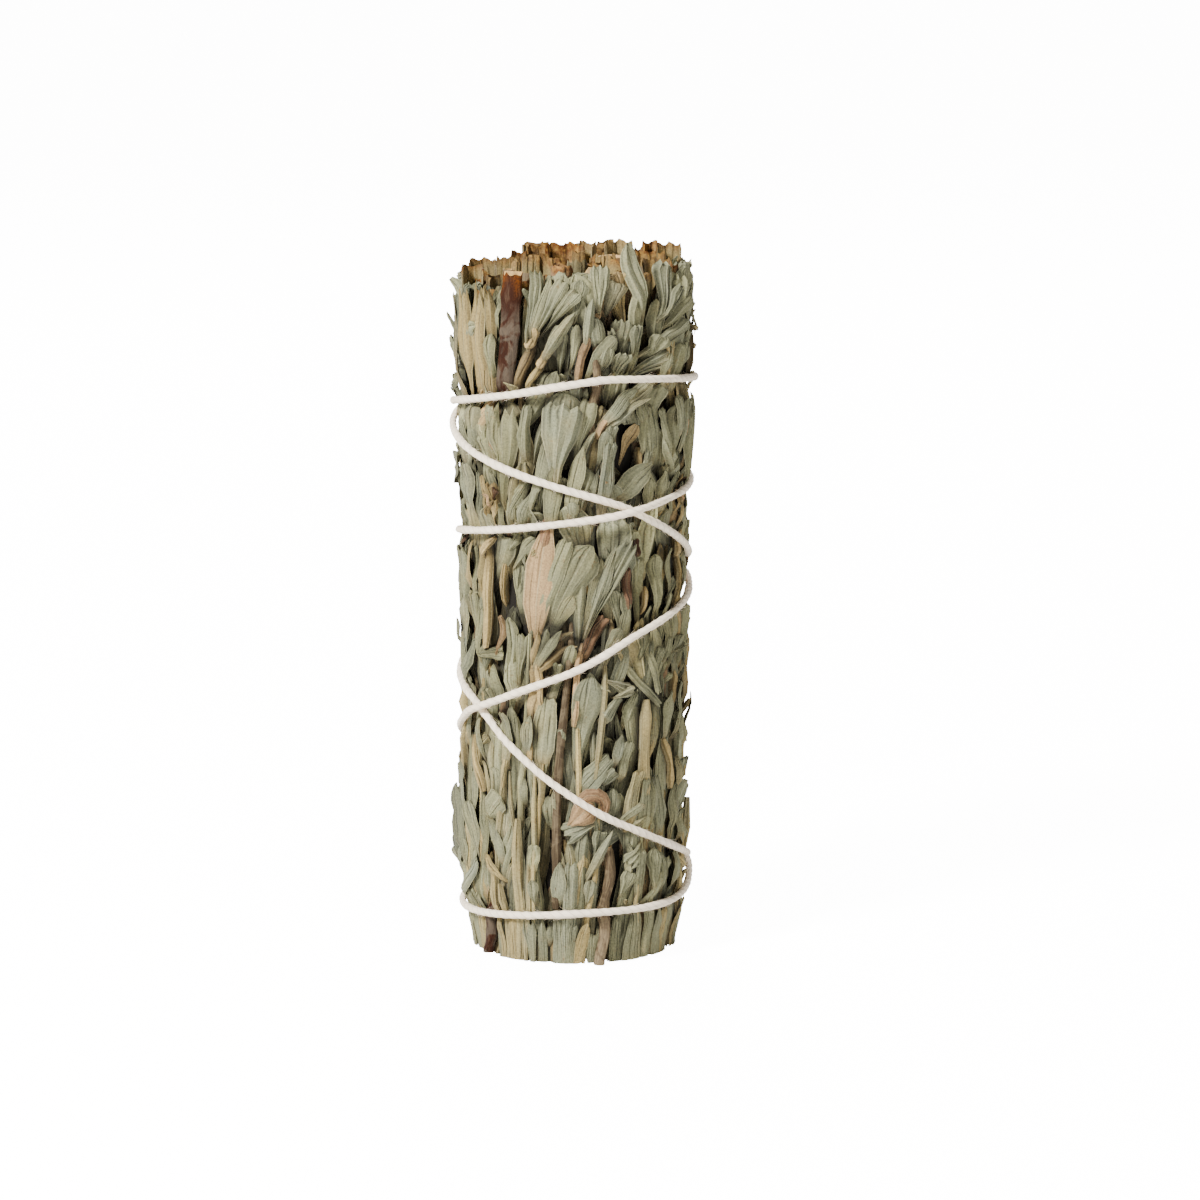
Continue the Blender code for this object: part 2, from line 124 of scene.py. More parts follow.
# The shape of the bundle
#
# Twelve outer sprigs are pressed into one slightly flared stick, each in its own slice.
# These are the same rules that place the solid sprigs, so each piece lies where its solid is.

TURN = 2 * math.pi
BUNDLE_RADIUS, CORE_RADIUS = 16.4 * MM, 13.6 * MM
TOP_FLARE, FLARE_START, FLARE_LENGTH = 1.1 * MM, 55 * MM, 40 * MM
FOOT_TAPER, FOOT_LENGTH = 0.6 * MM, 6 * MM
BULGE = 1.4 * MM
BULGE_AT = (math.radians(-97), 17.5 * MM)
BULGE_REACH = (3.2 * MM, 6.5 * MM)
SLICE_EDGES_DEG = (-40, 0, 30, 60, 90, 120, 150, 180, 210, 240, 268, 294)
SLICES = range(len(SLICE_EDGES_DEG))
SLICE_TWIST = math.radians(28)
SLICE_WAVE, SLICE_WAVE_LENGTH = math.radians(2.2), 80 * MM


def short_turn(angle, start):
    """The turn from one angle to another, the short way round."""
    return (angle - start + math.pi) % TURN - math.pi


def surface_radius(z):
    """Radius of the leafy outside at height z, wider at the top and drawn in at the foot."""
    x = np.clip((z - FLARE_START) / FLARE_LENGTH, 0, 1)
    flare = TOP_FLARE * x * x * (3 - 2 * x)
    return BUNDLE_RADIUS + flare - FOOT_TAPER * np.exp(-np.maximum(z, 0) / FOOT_LENGTH)


def bulge(angle, z):
    """How far a loose clump of leaves near the foot stands out of the left side."""
    across = short_turn(angle, BULGE_AT[0]) * BUNDLE_RADIUS / BULGE_REACH[0]
    return BULGE * np.exp(-(across**2) - ((z - BULGE_AT[1]) / BULGE_REACH[1]) ** 4)


def slice_edge(index, z):
    """The angle where two neighbouring sprigs meet at height z."""
    turns, number = divmod(index, len(SLICES))
    wave = SLICE_WAVE * math.sin(TURN * z / SLICE_WAVE_LENGTH + 1.9 * number)
    twist = SLICE_TWIST * (z / BUNDLE_HEIGHT - 0.5)
    return math.radians(SLICE_EDGES_DEG[number] + 360 * turns) + twist + wave


def slice_at(angle, z):
    """The number of the sprig whose slice holds this place."""
    for index in SLICES:
        low, high = slice_edge(index, z), slice_edge(index + 1, z)
        if (angle - low) % TURN < high - low:
            return index
    return 0


def picture_ray(x, y):
    """The direction from the camera through a place in the picture."""
    size = camera.data.lens / camera.data.sensor_width * PICTURE_SIZE
    across, above = x - PICTURE_SIZE / 2, PICTURE_SIZE / 2 - y
    return camera.matrix_world.to_3x3() @ Vector((across, above, -size)).normalized()


def on_bundle(x, y):
    """The (angle, height) on the bundle's outside that the camera sees at a place in the picture."""
    ray, start, z = picture_ray(x, y), camera.location, BUNDLE_HEIGHT / 2
    for _ in range(4):
        a, b = ray.x**2 + ray.y**2, start.x * ray.x + start.y * ray.y
        c = start.x**2 + start.y**2 - float(surface_radius(z)) ** 2
        hit = start + ray * ((-b - math.sqrt(max(0.0, b * b - a * c))) / a)
        z = hit.z
    return math.atan2(hit.x, -hit.y), hit.z


# The cotton string's route
#
# One thin soft cotton string, wound down the bundle and up again, and knotted at the back.
# Its route is needed first, because the leaves are pressed in along it.

STRING_RADIUS = 0.53 * MM
STRING_SUNK = 0.14 * MM
STRING_OVER, STRING_OVER_REACH = 1.2 * MM, 3.0 * MM
STRING_STEP_DEG = 1.0
STRING_ROUTE = (
    (178, 66.5), (186, 70.5), (192, 74.2), (230, 77), (270, 78.5), (326, 81.2), (355, 82.9), (380, 83.7),
    (450, 81.9), (540, 79.3), (585, 77.4), (630, 74.8), (679, 71.2), (712, 68.6), (743, 65.8), (761, 63.3),
    (810, 56.7), (900, 48), (990, 39.5), (1023, 36.5), (1045, 31.7), (1072, 25.9), (1103, 20.5),
    (1170, 12.8), (1260, 8.6), (1350, 6), (1440, 7.7), (1530, 9), (1620, 20), (1710, 31.6), (1771, 39.2),
    (1803, 42.9), (1835, 47.5), (1890, 51.6), (1980, 56), (2070, 60), (2119, 62), (2152, 63.4), (2178, 64.5),
    (2194, 65.4), (2250, 67.3), (2310, 70.2), (2350, 73), (2362, 71.6), (2372, 67.8),
)


def between(points, x):
    """A smooth curve through (x, y) points, read at x."""
    k = max(i for i in range(len(points) - 1) if points[i][0] <= x or i == 0)
    (x0, y0), (x1, y1) = points[k], points[k + 1]

    def slope(i):
        a, b = points[max(0, i - 1)], points[min(len(points) - 1, i + 1)]
        return (b[1] - a[1]) / (b[0] - a[0])

    t = (x - x0) / (x1 - x0)
    h = x1 - x0
    rise = (2 * t**3 - 3 * t**2 + 1) * y0 + (3 * t**2 - 2 * t**3) * y1
    return rise + (t**3 - 2 * t**2 + t) * h * slope(k) + (t**3 - t**2) * h * slope(k + 1)


string_steps = np.arange(STRING_ROUTE[0][0], STRING_ROUTE[-1][0] + STRING_STEP_DEG / 2, STRING_STEP_DEG)
string_angles = np.radians(string_steps)
string_heights = np.array([between(STRING_ROUTE, a) for a in string_steps]) * MM


def from_string(angles, z, upto=None):
    """Distance over the surface from each place to the nearest of the string's first upto points."""
    near = np.full(np.shape(angles), 1.0)
    for a, h in zip(string_angles[:upto:2], string_heights[:upto:2]):
        near = np.minimum(near, np.hypot(short_turn(angles, a) * BUNDLE_RADIUS, z - h))
    return near


# Leaf shapes
#
# Dried sage leaves are narrow at the base and widen to a blunt, rounded or three-lobed end.
# Each shape is modelled once, flat and one unit long, and its copies are laid on the bundle.

SPOON = (0.15, 0.18, 0.24, 0.34, 0.50, 0.70, 0.88, 0.98, 1.0, 1.0, 1.0)
WEDGE = (0.14, 0.17, 0.23, 0.32, 0.44, 0.58, 0.72, 0.86, 0.97, 1.0, 0.95)
LANCE = (0.30, 0.42, 0.58, 0.76, 0.92, 1.0, 1.0, 0.92, 0.76, 0.50, 0.12)
STRAP = (0.60, 0.72, 0.82, 0.90, 0.96, 1.0, 0.98, 0.94, 0.90, 0.86, 0.80)
ROUND_TIP, POINTED_TIP = (-0.02, 0.0, 0.01, 0.0, -0.03), (-0.04, 0.0, -0.04)
LOBED_TIP = (-0.10, -0.01, -0.055, 0.01, -0.065, -0.01, -0.09)
BROKEN_TIP = (-0.05, 0.01, -0.035, 0.0, -0.06)
TORN_TIP = (-0.16, 0.0, -0.20, -0.04, -0.09, 0.02, -0.14)
ROUND_END, TIP_ROWS = 0.17, 1.5
ZIGZAG, RIBBED = (-0.2, 1.0, -0.5, 0.9, -0.1), (-0.2, 0.8, -0.5, 1.0, -0.5, 0.8, -0.2)
HOLLOW, ARCHED = (1.6, -0.2, -0.6, -0.2, 1.3), (-0.8, 1.6, -0.8)
FLAT_FACE = 0.7


def as_shape(blade):
    """A modelled shape as arrays, ready to be copied: its own object is then removed."""
    mesh = blade.data
    shape = {"points": np.array([v.co for v in mesh.vertices])}
    shape["corners"] = np.array([loop.vertex_index for loop in mesh.loops])
    shape["sizes"] = np.array([face.loop_total for face in mesh.polygons])
    shape["sheet"] = np.array([list(loop.uv) for loop in mesh.uv_layers.active.data])
    shape["place"] = np.zeros((len(shape["points"]), 2))
    shape["place"][shape["corners"]] = shape["sheet"]
    bpy.data.objects.remove(blade)
    return shape


def leaf_shape(widths, tips, folds, rows, bend=0.0, round_end=0.0):
    """A closed thin blade: a grid is shaped column by column, thickened and pinched at the rim."""
    columns = len(tips) - 1
    bpy.ops.object.select_all(action="DESELECT")
    bpy.ops.mesh.primitive_grid_add(x_subdivisions=columns, y_subdivisions=rows, size=2)
    blade = bpy.context.active_object
    for vert in blade.data.vertices:
        across, along = vert.co.x, 1 - (1 - (vert.co.y + 1) / 2) ** TIP_ROWS
        half = np.interp(along, np.linspace(0, 1, len(widths)), widths)
        if along > 1 - round_end:
            half *= math.sqrt(max(0.08, 1 - ((along - 1) / round_end + 1) ** 2))
        tip = np.interp((across + 1) / 2 * columns, range(columns + 1), tips)
        vert.co = (across * half + bend * math.sin(math.pi * along), along + tip * along**4, 0)
    bpy.ops.object.mode_set(mode="EDIT")
    bpy.ops.mesh.select_all(action="SELECT")
    bpy.ops.mesh.extrude_region_move(TRANSFORM_OT_translate={"value": (0, 0, 1)})
    bpy.ops.mesh.select_all(action="DESELECT")
    mesh = bmesh.from_edit_mesh(blade.data)
    for vert in mesh.verts:
        levels = len({round(other.co.z) for edge in vert.link_edges for other in edge.verts})
        vert.select = vert.co.z > 0.5 and levels == 2
    bmesh.update_edit_mesh(blade.data)
    bpy.ops.transform.translate(value=(0, 0, -1))
    bpy.ops.mesh.select_all(action="SELECT")
    bpy.ops.mesh.remove_doubles(threshold=0.0001)
    bpy.ops.mesh.normals_make_consistent(inside=False)
    bpy.ops.object.mode_set(mode="OBJECT")
    shape = as_shape(blade)
    shape["x"], shape["y"], shape["h"] = shape["points"].T
    u, v = shape["place"].T
    fold = np.interp(u * (len(folds) - 1), range(len(folds)), folds)
    shape["fold"] = fold * (0.35 + 0.65 * np.minimum(1, v * 3)) * (1 - 0.4 * v**3)
    return shape


spoon = leaf_shape(SPOON, ROUND_TIP, ZIGZAG, 9, 0.0, ROUND_END)
bent_spoon = leaf_shape(SPOON, ROUND_TIP, HOLLOW, 9, 0.25, ROUND_END)
lobed = leaf_shape(WEDGE, LOBED_TIP, RIBBED, 8)
broken = leaf_shape(WEDGE, BROKEN_TIP, ZIGZAG, 8)
torn = leaf_shape(WEDGE, TORN_TIP, RIBBED, 7)
torn_sheet = leaf_shape(STRAP, TORN_TIP, RIBBED, 9)
lance = leaf_shape(LANCE, ROUND_TIP, HOLLOW, 8)
strap = leaf_shape(STRAP, BROKEN_TIP, ZIGZAG, 8)
folded = leaf_shape(LANCE, POINTED_TIP, ARCHED, 9)
plain_spoon = leaf_shape(SPOON, ROUND_TIP, ZIGZAG, 6, 0.0, ROUND_END)
plain_lobed = leaf_shape(WEDGE, LOBED_TIP, RIBBED, 4)
plain_lance = leaf_shape(LANCE, POINTED_TIP, ARCHED, 6)


def rod_shape(sides, rows, hollow=False):
    """A round stem with shallow flutes: a hollow one is cut at the top, another thins at both ends."""
    bpy.ops.object.select_all(action="DESELECT")
    bpy.ops.mesh.primitive_cylinder_add(vertices=sides, depth=1, end_fill_type="TRIFAN", calc_uvs=True)
    rod = bpy.context.active_object
    bpy.ops.object.mode_set(mode="EDIT")
    mesh = bmesh.from_edit_mesh(rod.data)
    upright = [e for e in mesh.edges if abs(e.verts[0].co.z - e.verts[1].co.z) > 0.5]
    bmesh.ops.subdivide_edges(mesh, edges=upright, cuts=rows - 1, use_grid_fill=True)
    for face in mesh.faces:
        face.select = face.normal.z > FLAT_FACE
    bmesh.update_edit_mesh(rod.data)
    if hollow:
        bpy.ops.mesh.inset(thickness=0.14)
        bpy.ops.mesh.inset(thickness=0.46)
        bpy.ops.transform.translate(value=(0, 0, -0.012))
    bpy.ops.object.mode_set(mode="OBJECT")
    cut_faces = [abs(face.normal.z) > FLAT_FACE for face in rod.data.polygons]
    shape = as_shape(rod)
    x, y, z = shape["points"].T
    around, inside, along = np.arctan2(y, x), np.hypot(x, y), z + 0.5
    sheet = []
    for face, is_cut in zip(np.split(shape["corners"], np.cumsum(shape["sizes"])[:-1]), cut_faces):
        turns = around[face] / TURN + 0.5
        turns = np.where(turns.max() - turns > 0.5, turns + 1, turns)
        sheet += [(turn, 2 - inside[i] if is_cut else along[i]) for i, turn in zip(face, turns)]
    flute = 1 + 0.07 * np.sin(3 * around + 5 * z) + 0.05 * np.sin(5 * around + 2)
    if not hollow:
        flute *= np.interp(along, (0, 0.12, 0.85, 1), (0.55, 0.95, 0.95, 0.45))
    shape.update(x=x * flute, y=along, h=y * flute, fold=np.zeros(len(x)), sheet=np.array(sheet))
    return shape


thin_rod = rod_shape(7, 6)
long_rod = rod_shape(14, 26, hollow=True)

# Laying leaves
#
# Pressed leaves lie on whatever is under them. A map of the bundle's surface keeps the height
# of what already lies there, and each leaf or twig in turn is bent over it.

MAP_STEP, MAP_COLUMNS, MAP_ROWS = 0.25 * MM, 412, 410
LEAF_THICKNESS = 0.24 * MM
FOLD_DEPTH, WIDEST_FOLD = 0.11, 1.0 * MM
ALONG_STEPS, ACROSS_STEPS, PATH_STEPS = 18, 7, 20
UNDER, UPPER, SEEN = 2, 1, 3
RESTS_ON_PERCENT = {UNDER: 86, UPPER: 86, SEEN: 96}
STEEPEST, SLOPE_KEPT = 0.35, 0.8
LEVELLED = (1 / 10, 3 / 20, 1 / 6, 1 / 6, 1 / 6, 3 / 20, 1 / 10)
ROOT_SHARE = 0.45
map_angles = (np.arange(MAP_COLUMNS) + 0.5) / MAP_COLUMNS * TURN
map_heights = (np.arange(MAP_ROWS) + 0.5) * MAP_STEP
height_map = np.full((MAP_COLUMNS, MAP_ROWS), CORE_RADIUS)
keep_off = np.zeros((MAP_COLUMNS, MAP_ROWS), dtype=int)
laid = []


def map_place(angle, z):
    """The column and row of the map that hold each place."""
    column = np.floor(np.asarray(angle) / TURN * MAP_COLUMNS).astype(int) % MAP_COLUMNS
    return column, np.clip(np.floor(np.asarray(z) / MAP_STEP).astype(int), 0, MAP_ROWS - 1)


def keep_clear(angle, z, wide, tall, layer):
    """Marks an oval that leaves up to this layer keep off, half as wide and as tall as given."""
    turn = short_turn(map_angles[:, None], angle)
    keep_off[np.hypot(turn * BUNDLE_RADIUS / wide, (map_heights[None, :] - z) / tall) < 1] = layer


def path_over(angle, z, lean, curve, length, across, along):
    """Angle and height of points across and along a line that starts at a place and leans right."""
    t = np.linspace(0, 1, PATH_STEPS + 1)
    headings = lean + curve * (t[1:] + t[:-1]) / 2
    turn = np.concatenate(([0], np.cumsum(np.sin(headings)) / PATH_STEPS))
    rise = np.concatenate(([0], np.cumsum(np.cos(headings)) / PATH_STEPS))
    heading = lean + curve * along
    a = angle + (np.interp(along, t, turn) * length + across * np.cos(heading)) / BUNDLE_RADIUS
    return a, z + np.interp(along, t, rise) * length - across * np.sin(heading)


def smoothed(line, weights):
    """A line smoothed by an odd number of weights, with its ends held."""
    return np.convolve(np.pad(line, len(weights) // 2, "edge"), weights, "valid")


def lay(shape, angle, z, lean, length, width, tint, draw, layer=SEEN, curve=0.0, cup=0.0, root_dip=1.0,
        tip_lift=0.0, twist=0.0, wave=0.0, thickness=LEAF_THICKNESS, lift=0.0, sway=0.0):
    """Lays one copy of a shape, bent over what is under it. tint is (tone, share of dead colour)."""
    half = width / 2
    t = np.linspace(0, 1, ALONG_STEPS)
    widest = np.array([np.abs(shape["x"][np.abs(shape["y"] - k) < 0.12]).max(initial=0.3) for k in t])
    across = np.linspace(-1, 1, ACROSS_STEPS)[None, :] * widest[:, None] * half * 0.92
    along = np.repeat(t[:, None], ACROSS_STEPS, 1)
    phase, fold_depth = draw.uniform(0, 6.28), FOLD_DEPTH * draw.uniform(0.4, 1.6)
    a, h = path_over(angle, z, lean, curve, length, across + sway * np.sin(6 * along + phase), along)
    cells = map_place(a, h)
    if layer != SEEN and (keep_off[cells] >= layer).any():
        return False
    under = height_map[cells]
    slope = (under[:, 4:].mean(1) - under[:, :3].mean(1)) / np.maximum(widest * half * 1.1, 0.4 * MM)
    slope = np.clip(smoothed(slope, np.ones(7) / 7), -STEEPEST, STEEPEST) * SLOPE_KEPT + twist * (t - 0.3)
    need = np.percentile(under - slope[:, None] * across, RESTS_ON_PERCENT[layer], axis=1)
    need = np.maximum(need, np.maximum(np.roll(need, 1), np.roll(need, -1)) - 0.10 * MM)
    dip = root_dip * MM * (1 - np.clip(t / ROOT_SHARE, 0, 1)) ** 2
    base = smoothed(need, LEVELLED) + lift - dip + tip_lift * MM * t**3

    def radius(x, y, h_share, fold):
        bent = np.interp(y, t, base) + np.interp(y, t, slope) * x
        waved = wave * (x / half) ** 2 * np.sin(y * 9 + phase) * np.sign(x)
        bow = cup * half * (1 - (x / half) ** 2) + waved
        return bent + bow + h_share * thickness + fold * fold_depth * min(half, WIDEST_FOLD)

    edge = 1 + 0.07 * np.sin(8 * shape["y"] + phase) + 0.06 * np.sin(17 * shape["y"] + 2 * phase)
    x, y = shape["x"] * half * edge, shape["y"]
    a_all, z_all = path_over(angle, z, lean, curve, length, x + sway * np.sin(6 * y + phase), y)
    r_all = radius(x, y, shape["h"], shape["fold"])
    tints = np.repeat([[*tint, 0.0, 0.0]], len(x), 0)
    laid.append((shape, a_all, r_all, z_all, tints, slice_at(angle, z + length / 2)))
    dense = radius(across, along, 0.9, 0)
    clear = dense > under - 0.2 * MM
    np.maximum.at(height_map, map_place(a[clear], h[clear]), dense[clear])
    return True


def lay_rod(angle, z, lean, length, width, tint, draw, layer=SEEN, curve=0.0, root_dip=0.5):
    """Lays a thin bare stem, which is round and sways a little."""
    return lay(thin_rod, angle, z, lean, length, width, tint, draw, layer, curve, thickness=width / 2,
               lift=width * 0.3, root_dip=root_dip, sway=draw.uniform(0.0, 0.02) * length)


# Dark gaps and bare twigs
#
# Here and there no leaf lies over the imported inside, so a deep dark gap shows, and six bare
# twigs lie uncovered on the outside. The leaves laid later keep off these places.

# Picture x and y of a gap's middle, and half its width and height in millimetres
GAPS_IN_PICTURE = (
    (633, 447, 1.7, 3.4), (637, 462, 1, 2.4), (597, 626, 1, 2.2), (592, 640, 0.8, 1.8), (524, 610, 0.8, 2.2),
    (521, 628, 0.7, 1.4), (660, 330, 0.9, 1.6), (527, 492, 0.7, 1.6), (471, 812, 0.7, 2.2),
    (622, 868, 0.7, 1.4), (498, 372, 0.6, 2.4), (520, 336, 0.5, 2), (594, 340, 0.5, 1.8),
    (680, 500, 0.5, 2.2),
)
GAP_NARROWED, GAP_LOWERED = 0.8, 0.7
GAPS_BEHIND, BEHIND_DEG = 26, (108, 252)
# The slice edge that a twig follows, its lowest and highest bare place and its radius in millimetres
BARE_TWIGS = {
    "twig_upper_left": (0, 83, 101, 1.40),
    "twig_long_front": (1, 9, 44, 0.80),
    "twig_upper_front": (1, 82, 90, 0.75),
    "twig_lower_right": (2, 0, 15.5, 0.80),
    "twig_lower_left": (0, 0.4, 6.5, 0.85),
    "twig_back": (7, 38, 84, 0.90),
}

for x, y, wide, tall in GAPS_IN_PICTURE:
    keep_clear(*on_bundle(x, y), GAP_NARROWED * wide * MM, GAP_LOWERED * tall * MM, UNDER)
draw = random.Random(5)
for number in range(GAPS_BEHIND):
    angle, z = math.radians(draw.uniform(*BEHIND_DEG)), draw.uniform(8, 90) * MM
    keep_clear(angle, z, draw.uniform(0.5, 1.2) * MM, draw.uniform(1.5, 3.2) * MM, UNDER)
for edge, low, high, radius in BARE_TWIGS.values():
    for z in np.arange(low, high, 1.5) * MM:
        keep_clear(slice_edge(edge, z), z, (radius - 0.1) * MM, 1.6 * MM, UPPER)

# The pressed under-layer
#
# Below the leaves that show, every sprig is packed with broad and narrow leaves lying flat.
# They are laid first, so that only slits and dark gaps between the upper leaves reach them.

UNDER_LEAVES = 900
LANCE_NARROWED = 0.7
HIGHEST_UNDER = 96 * MM
BESIDE = (0, 0.07, -0.07, 0.14, -0.14)


def lay_beside(shape, angle, *rest, **more):
    """Lays a leaf at an angle, or a little beside it where it would cover a place that stays clear."""
    any(lay(shape, angle + beside, *rest, **more) for beside in BESIDE)


draw = random.Random(11)
for number in range(UNDER_LEAVES):
    angle, z = draw.uniform(0, TURN), draw.uniform(-14, 88) * MM
    shape = draw.choice((plain_spoon, plain_spoon, plain_lance, plain_lance))
    width = draw.uniform(2.2, 4.4) * MM * (LANCE_NARROWED if shape is plain_lance else 1)
    length = min(draw.uniform(12, 20) * MM, HIGHEST_UNDER - z)
    tint = (draw.uniform(0.40, 0.75), draw.choice((0.0, 0.0, 0.1, 0.2, 0.6)))
    lean, curve, cup = math.radians(draw.gauss(4, 9)), draw.gauss(0, 0.15), draw.uniform(-0.1, 0.12)
    lay_beside(shape, angle, z, lean, length, width, tint, draw, UNDER, curve, cup=cup)

# The upper leaves
#
# Leafy side shoots: a short tan stem, with narrow-based leaves fanning out of its top.
# They cover the bundle all round, broad leaves above and narrow leaves and bare stems below.

SHOOTS, FOOT_STRIPS, CRUMBS = 178, 180, 90
SHOOT_STEP, STRIP_STEP = 0.618034, 0.381966
LEAVES_ON_SHOOT, SHORTEST_LEAF = (3, 6), 5 * MM
HIGHEST_SHOOT, SHOOT_SPAN = 90, 98
OUTLIERS, LEAN_SPREAD, OUTLIER_SPREAD = 0.12, 11, 45
LOW_LEFT_OF = -6.4 * MM
TOP_OF_LEAVES, TOP_LEFT, TOP_LEFT_BEHIND = 98.3 * MM, 95.5 * MM, 96.0 * MM
NARROW_LEAVES = (lance, folded, strap, bent_spoon)
BROAD_LEAVES = (spoon, spoon, bent_spoon, lobed, broken, lance, folded)
STRIPS = (lance, strap, strap, folded)


def top_limit(angle):
    """Leaves reach the upper cut all round, but end lower at the left."""
    if BUNDLE_RADIUS * math.sin(angle) > LOW_LEFT_OF:
        return TOP_OF_LEAVES
    return TOP_LEFT if math.cos(angle) > 0 else TOP_LEFT_BEHIND


def leaf_tint(draw, tone=1.0):
    """Tone and share of dead colour of one leaf: mostly grey-green, some tan or brown."""
    dead = draw.choice((0.0,) * 16 + (0.08, 0.12, 0.16, 0.2, 0.3, 0.42))
    return tone * draw.gauss(1.0, 0.15), max(0.0, dead + draw.uniform(-0.03, 0.03))


def lay_shoot(angle, z, lean, leaves, leaf_length, spread, tint, draw, shapes, leaf_width):
    """A side shoot: its stem is laid first, then its leaves from the outside in."""
    stem_length, from_middle = draw.uniform(4, 8) * MM, (leaves - 1) / 2
    lay_rod(angle, z, lean, stem_length, draw.uniform(0.7, 1.2) * MM, (tint[0], 0.42), draw, UPPER)
    top_angle, top_z = path_over(angle, z, lean, 0, stem_length * 0.8, np.array(0.0), np.array(1.0))
    for k in sorted(range(leaves), key=lambda k: -abs(k - from_middle)):
        side = (k - from_middle) / max(1, from_middle)
        heading = lean + spread * side + math.radians(draw.gauss(0, 5))
        length = leaf_length * (1 - 0.25 * abs(side)) * draw.uniform(0.8, 1.15)
        tone = (tint[0] * draw.gauss(1, 0.09), min(1, max(0, tint[1] + draw.uniform(-0.08, 0.08))))
        base_z = float(top_z) - draw.uniform(0, 3) * MM * abs(side)
        length = min(length, (top_limit(angle) - base_z) / max(0.3, math.cos(heading)))
        if length < SHORTEST_LEAF:
            continue
        shape, width, curve = draw.choice(shapes), leaf_width * draw.uniform(0.7, 1.25), -0.45 * spread * side
        cup, twist, wave = draw.uniform(-0.2, 0.12), draw.uniform(-0.25, 0.25), draw.uniform(0, 0.12) * MM
        for beside in BESIDE:
            if lay(shape, float(top_angle) + beside, base_z, heading, length, width, tone, draw, UPPER, curve,
                   cup=cup, twist=twist, wave=wave, tip_lift=max(0.0, draw.gauss(0, 0.2))):
                break


draw = random.Random(23)
for number in range(SHOOTS):
    angle = number * SHOOT_STEP % 1 * TURN
    z = (HIGHEST_SHOOT - SHOOT_SPAN * (number + 0.5) / SHOOTS) * MM
    low = draw.random() > (z / BUNDLE_HEIGHT - 0.12) / 0.4
    sway = OUTLIER_SPREAD if draw.random() < OUTLIERS else LEAN_SPREAD
    width = (draw.uniform(1.5, 2.8) if low else draw.uniform(2.6, 4.8)) * MM
    lay_shoot(angle, z, math.radians(draw.gauss(4, sway)), draw.randint(*LEAVES_ON_SHOOT),
              draw.uniform(11, 19) * MM, math.radians(draw.uniform(8, 22)), leaf_tint(draw), draw,
              NARROW_LEAVES if low else BROAD_LEAVES, width)
for number in range(FOOT_STRIPS):
    angle = number * STRIP_STEP % 1 * TURN
    z = (draw.uniform(-5, 0) if number % 3 else draw.uniform(2, 22)) * MM
    length, lean = draw.uniform(11, 34) * MM, math.radians(draw.gauss(3, 4))
    tint = leaf_tint(draw, 1.05)
    shape, width, dead = draw.choice(STRIPS), draw.uniform(1.3, 2.9) * MM, draw.choice((0.1, 0.2, 0.3))
    for beside in BESIDE:
        if number % 5 == 0:
            done = lay_rod(angle + beside, z, lean, length, width * 0.42, (tint[0], dead), draw, UPPER,
                           root_dip=0.0)
        else:
            done = lay(shape, angle + beside, z, lean, length * 0.8, width, tint, draw, UPPER,
                       draw.gauss(0, 0.12), cup=draw.uniform(-0.15, 0.2), root_dip=0.0,
                       sway=draw.uniform(0, 0.5) * MM)
        if done:
            break
for number in range(CRUMBS):
    angle, z = draw.uniform(0, TURN), draw.uniform(4, 88) * MM
    lay(draw.choice((plain_lobed, plain_spoon, plain_lance)), angle, z, draw.gauss(0, 0.9),
        draw.uniform(1.6, 4.5) * MM, draw.uniform(0.7, 1.8) * MM, leaf_tint(draw, 1.05), draw, UPPER,
        draw.gauss(0, 0.4), cup=draw.uniform(-0.2, 0.2), root_dip=0.2, tip_lift=draw.uniform(0, 0.2))

# The leaves in sight
#
# The leaves that lie on top at the front, each where the picture shows it, from root to tip: picture
# x and y of both ends, width in millimetres and shape, then tone, share of dead colour and bend
# where they aren't those of a plain leaf.

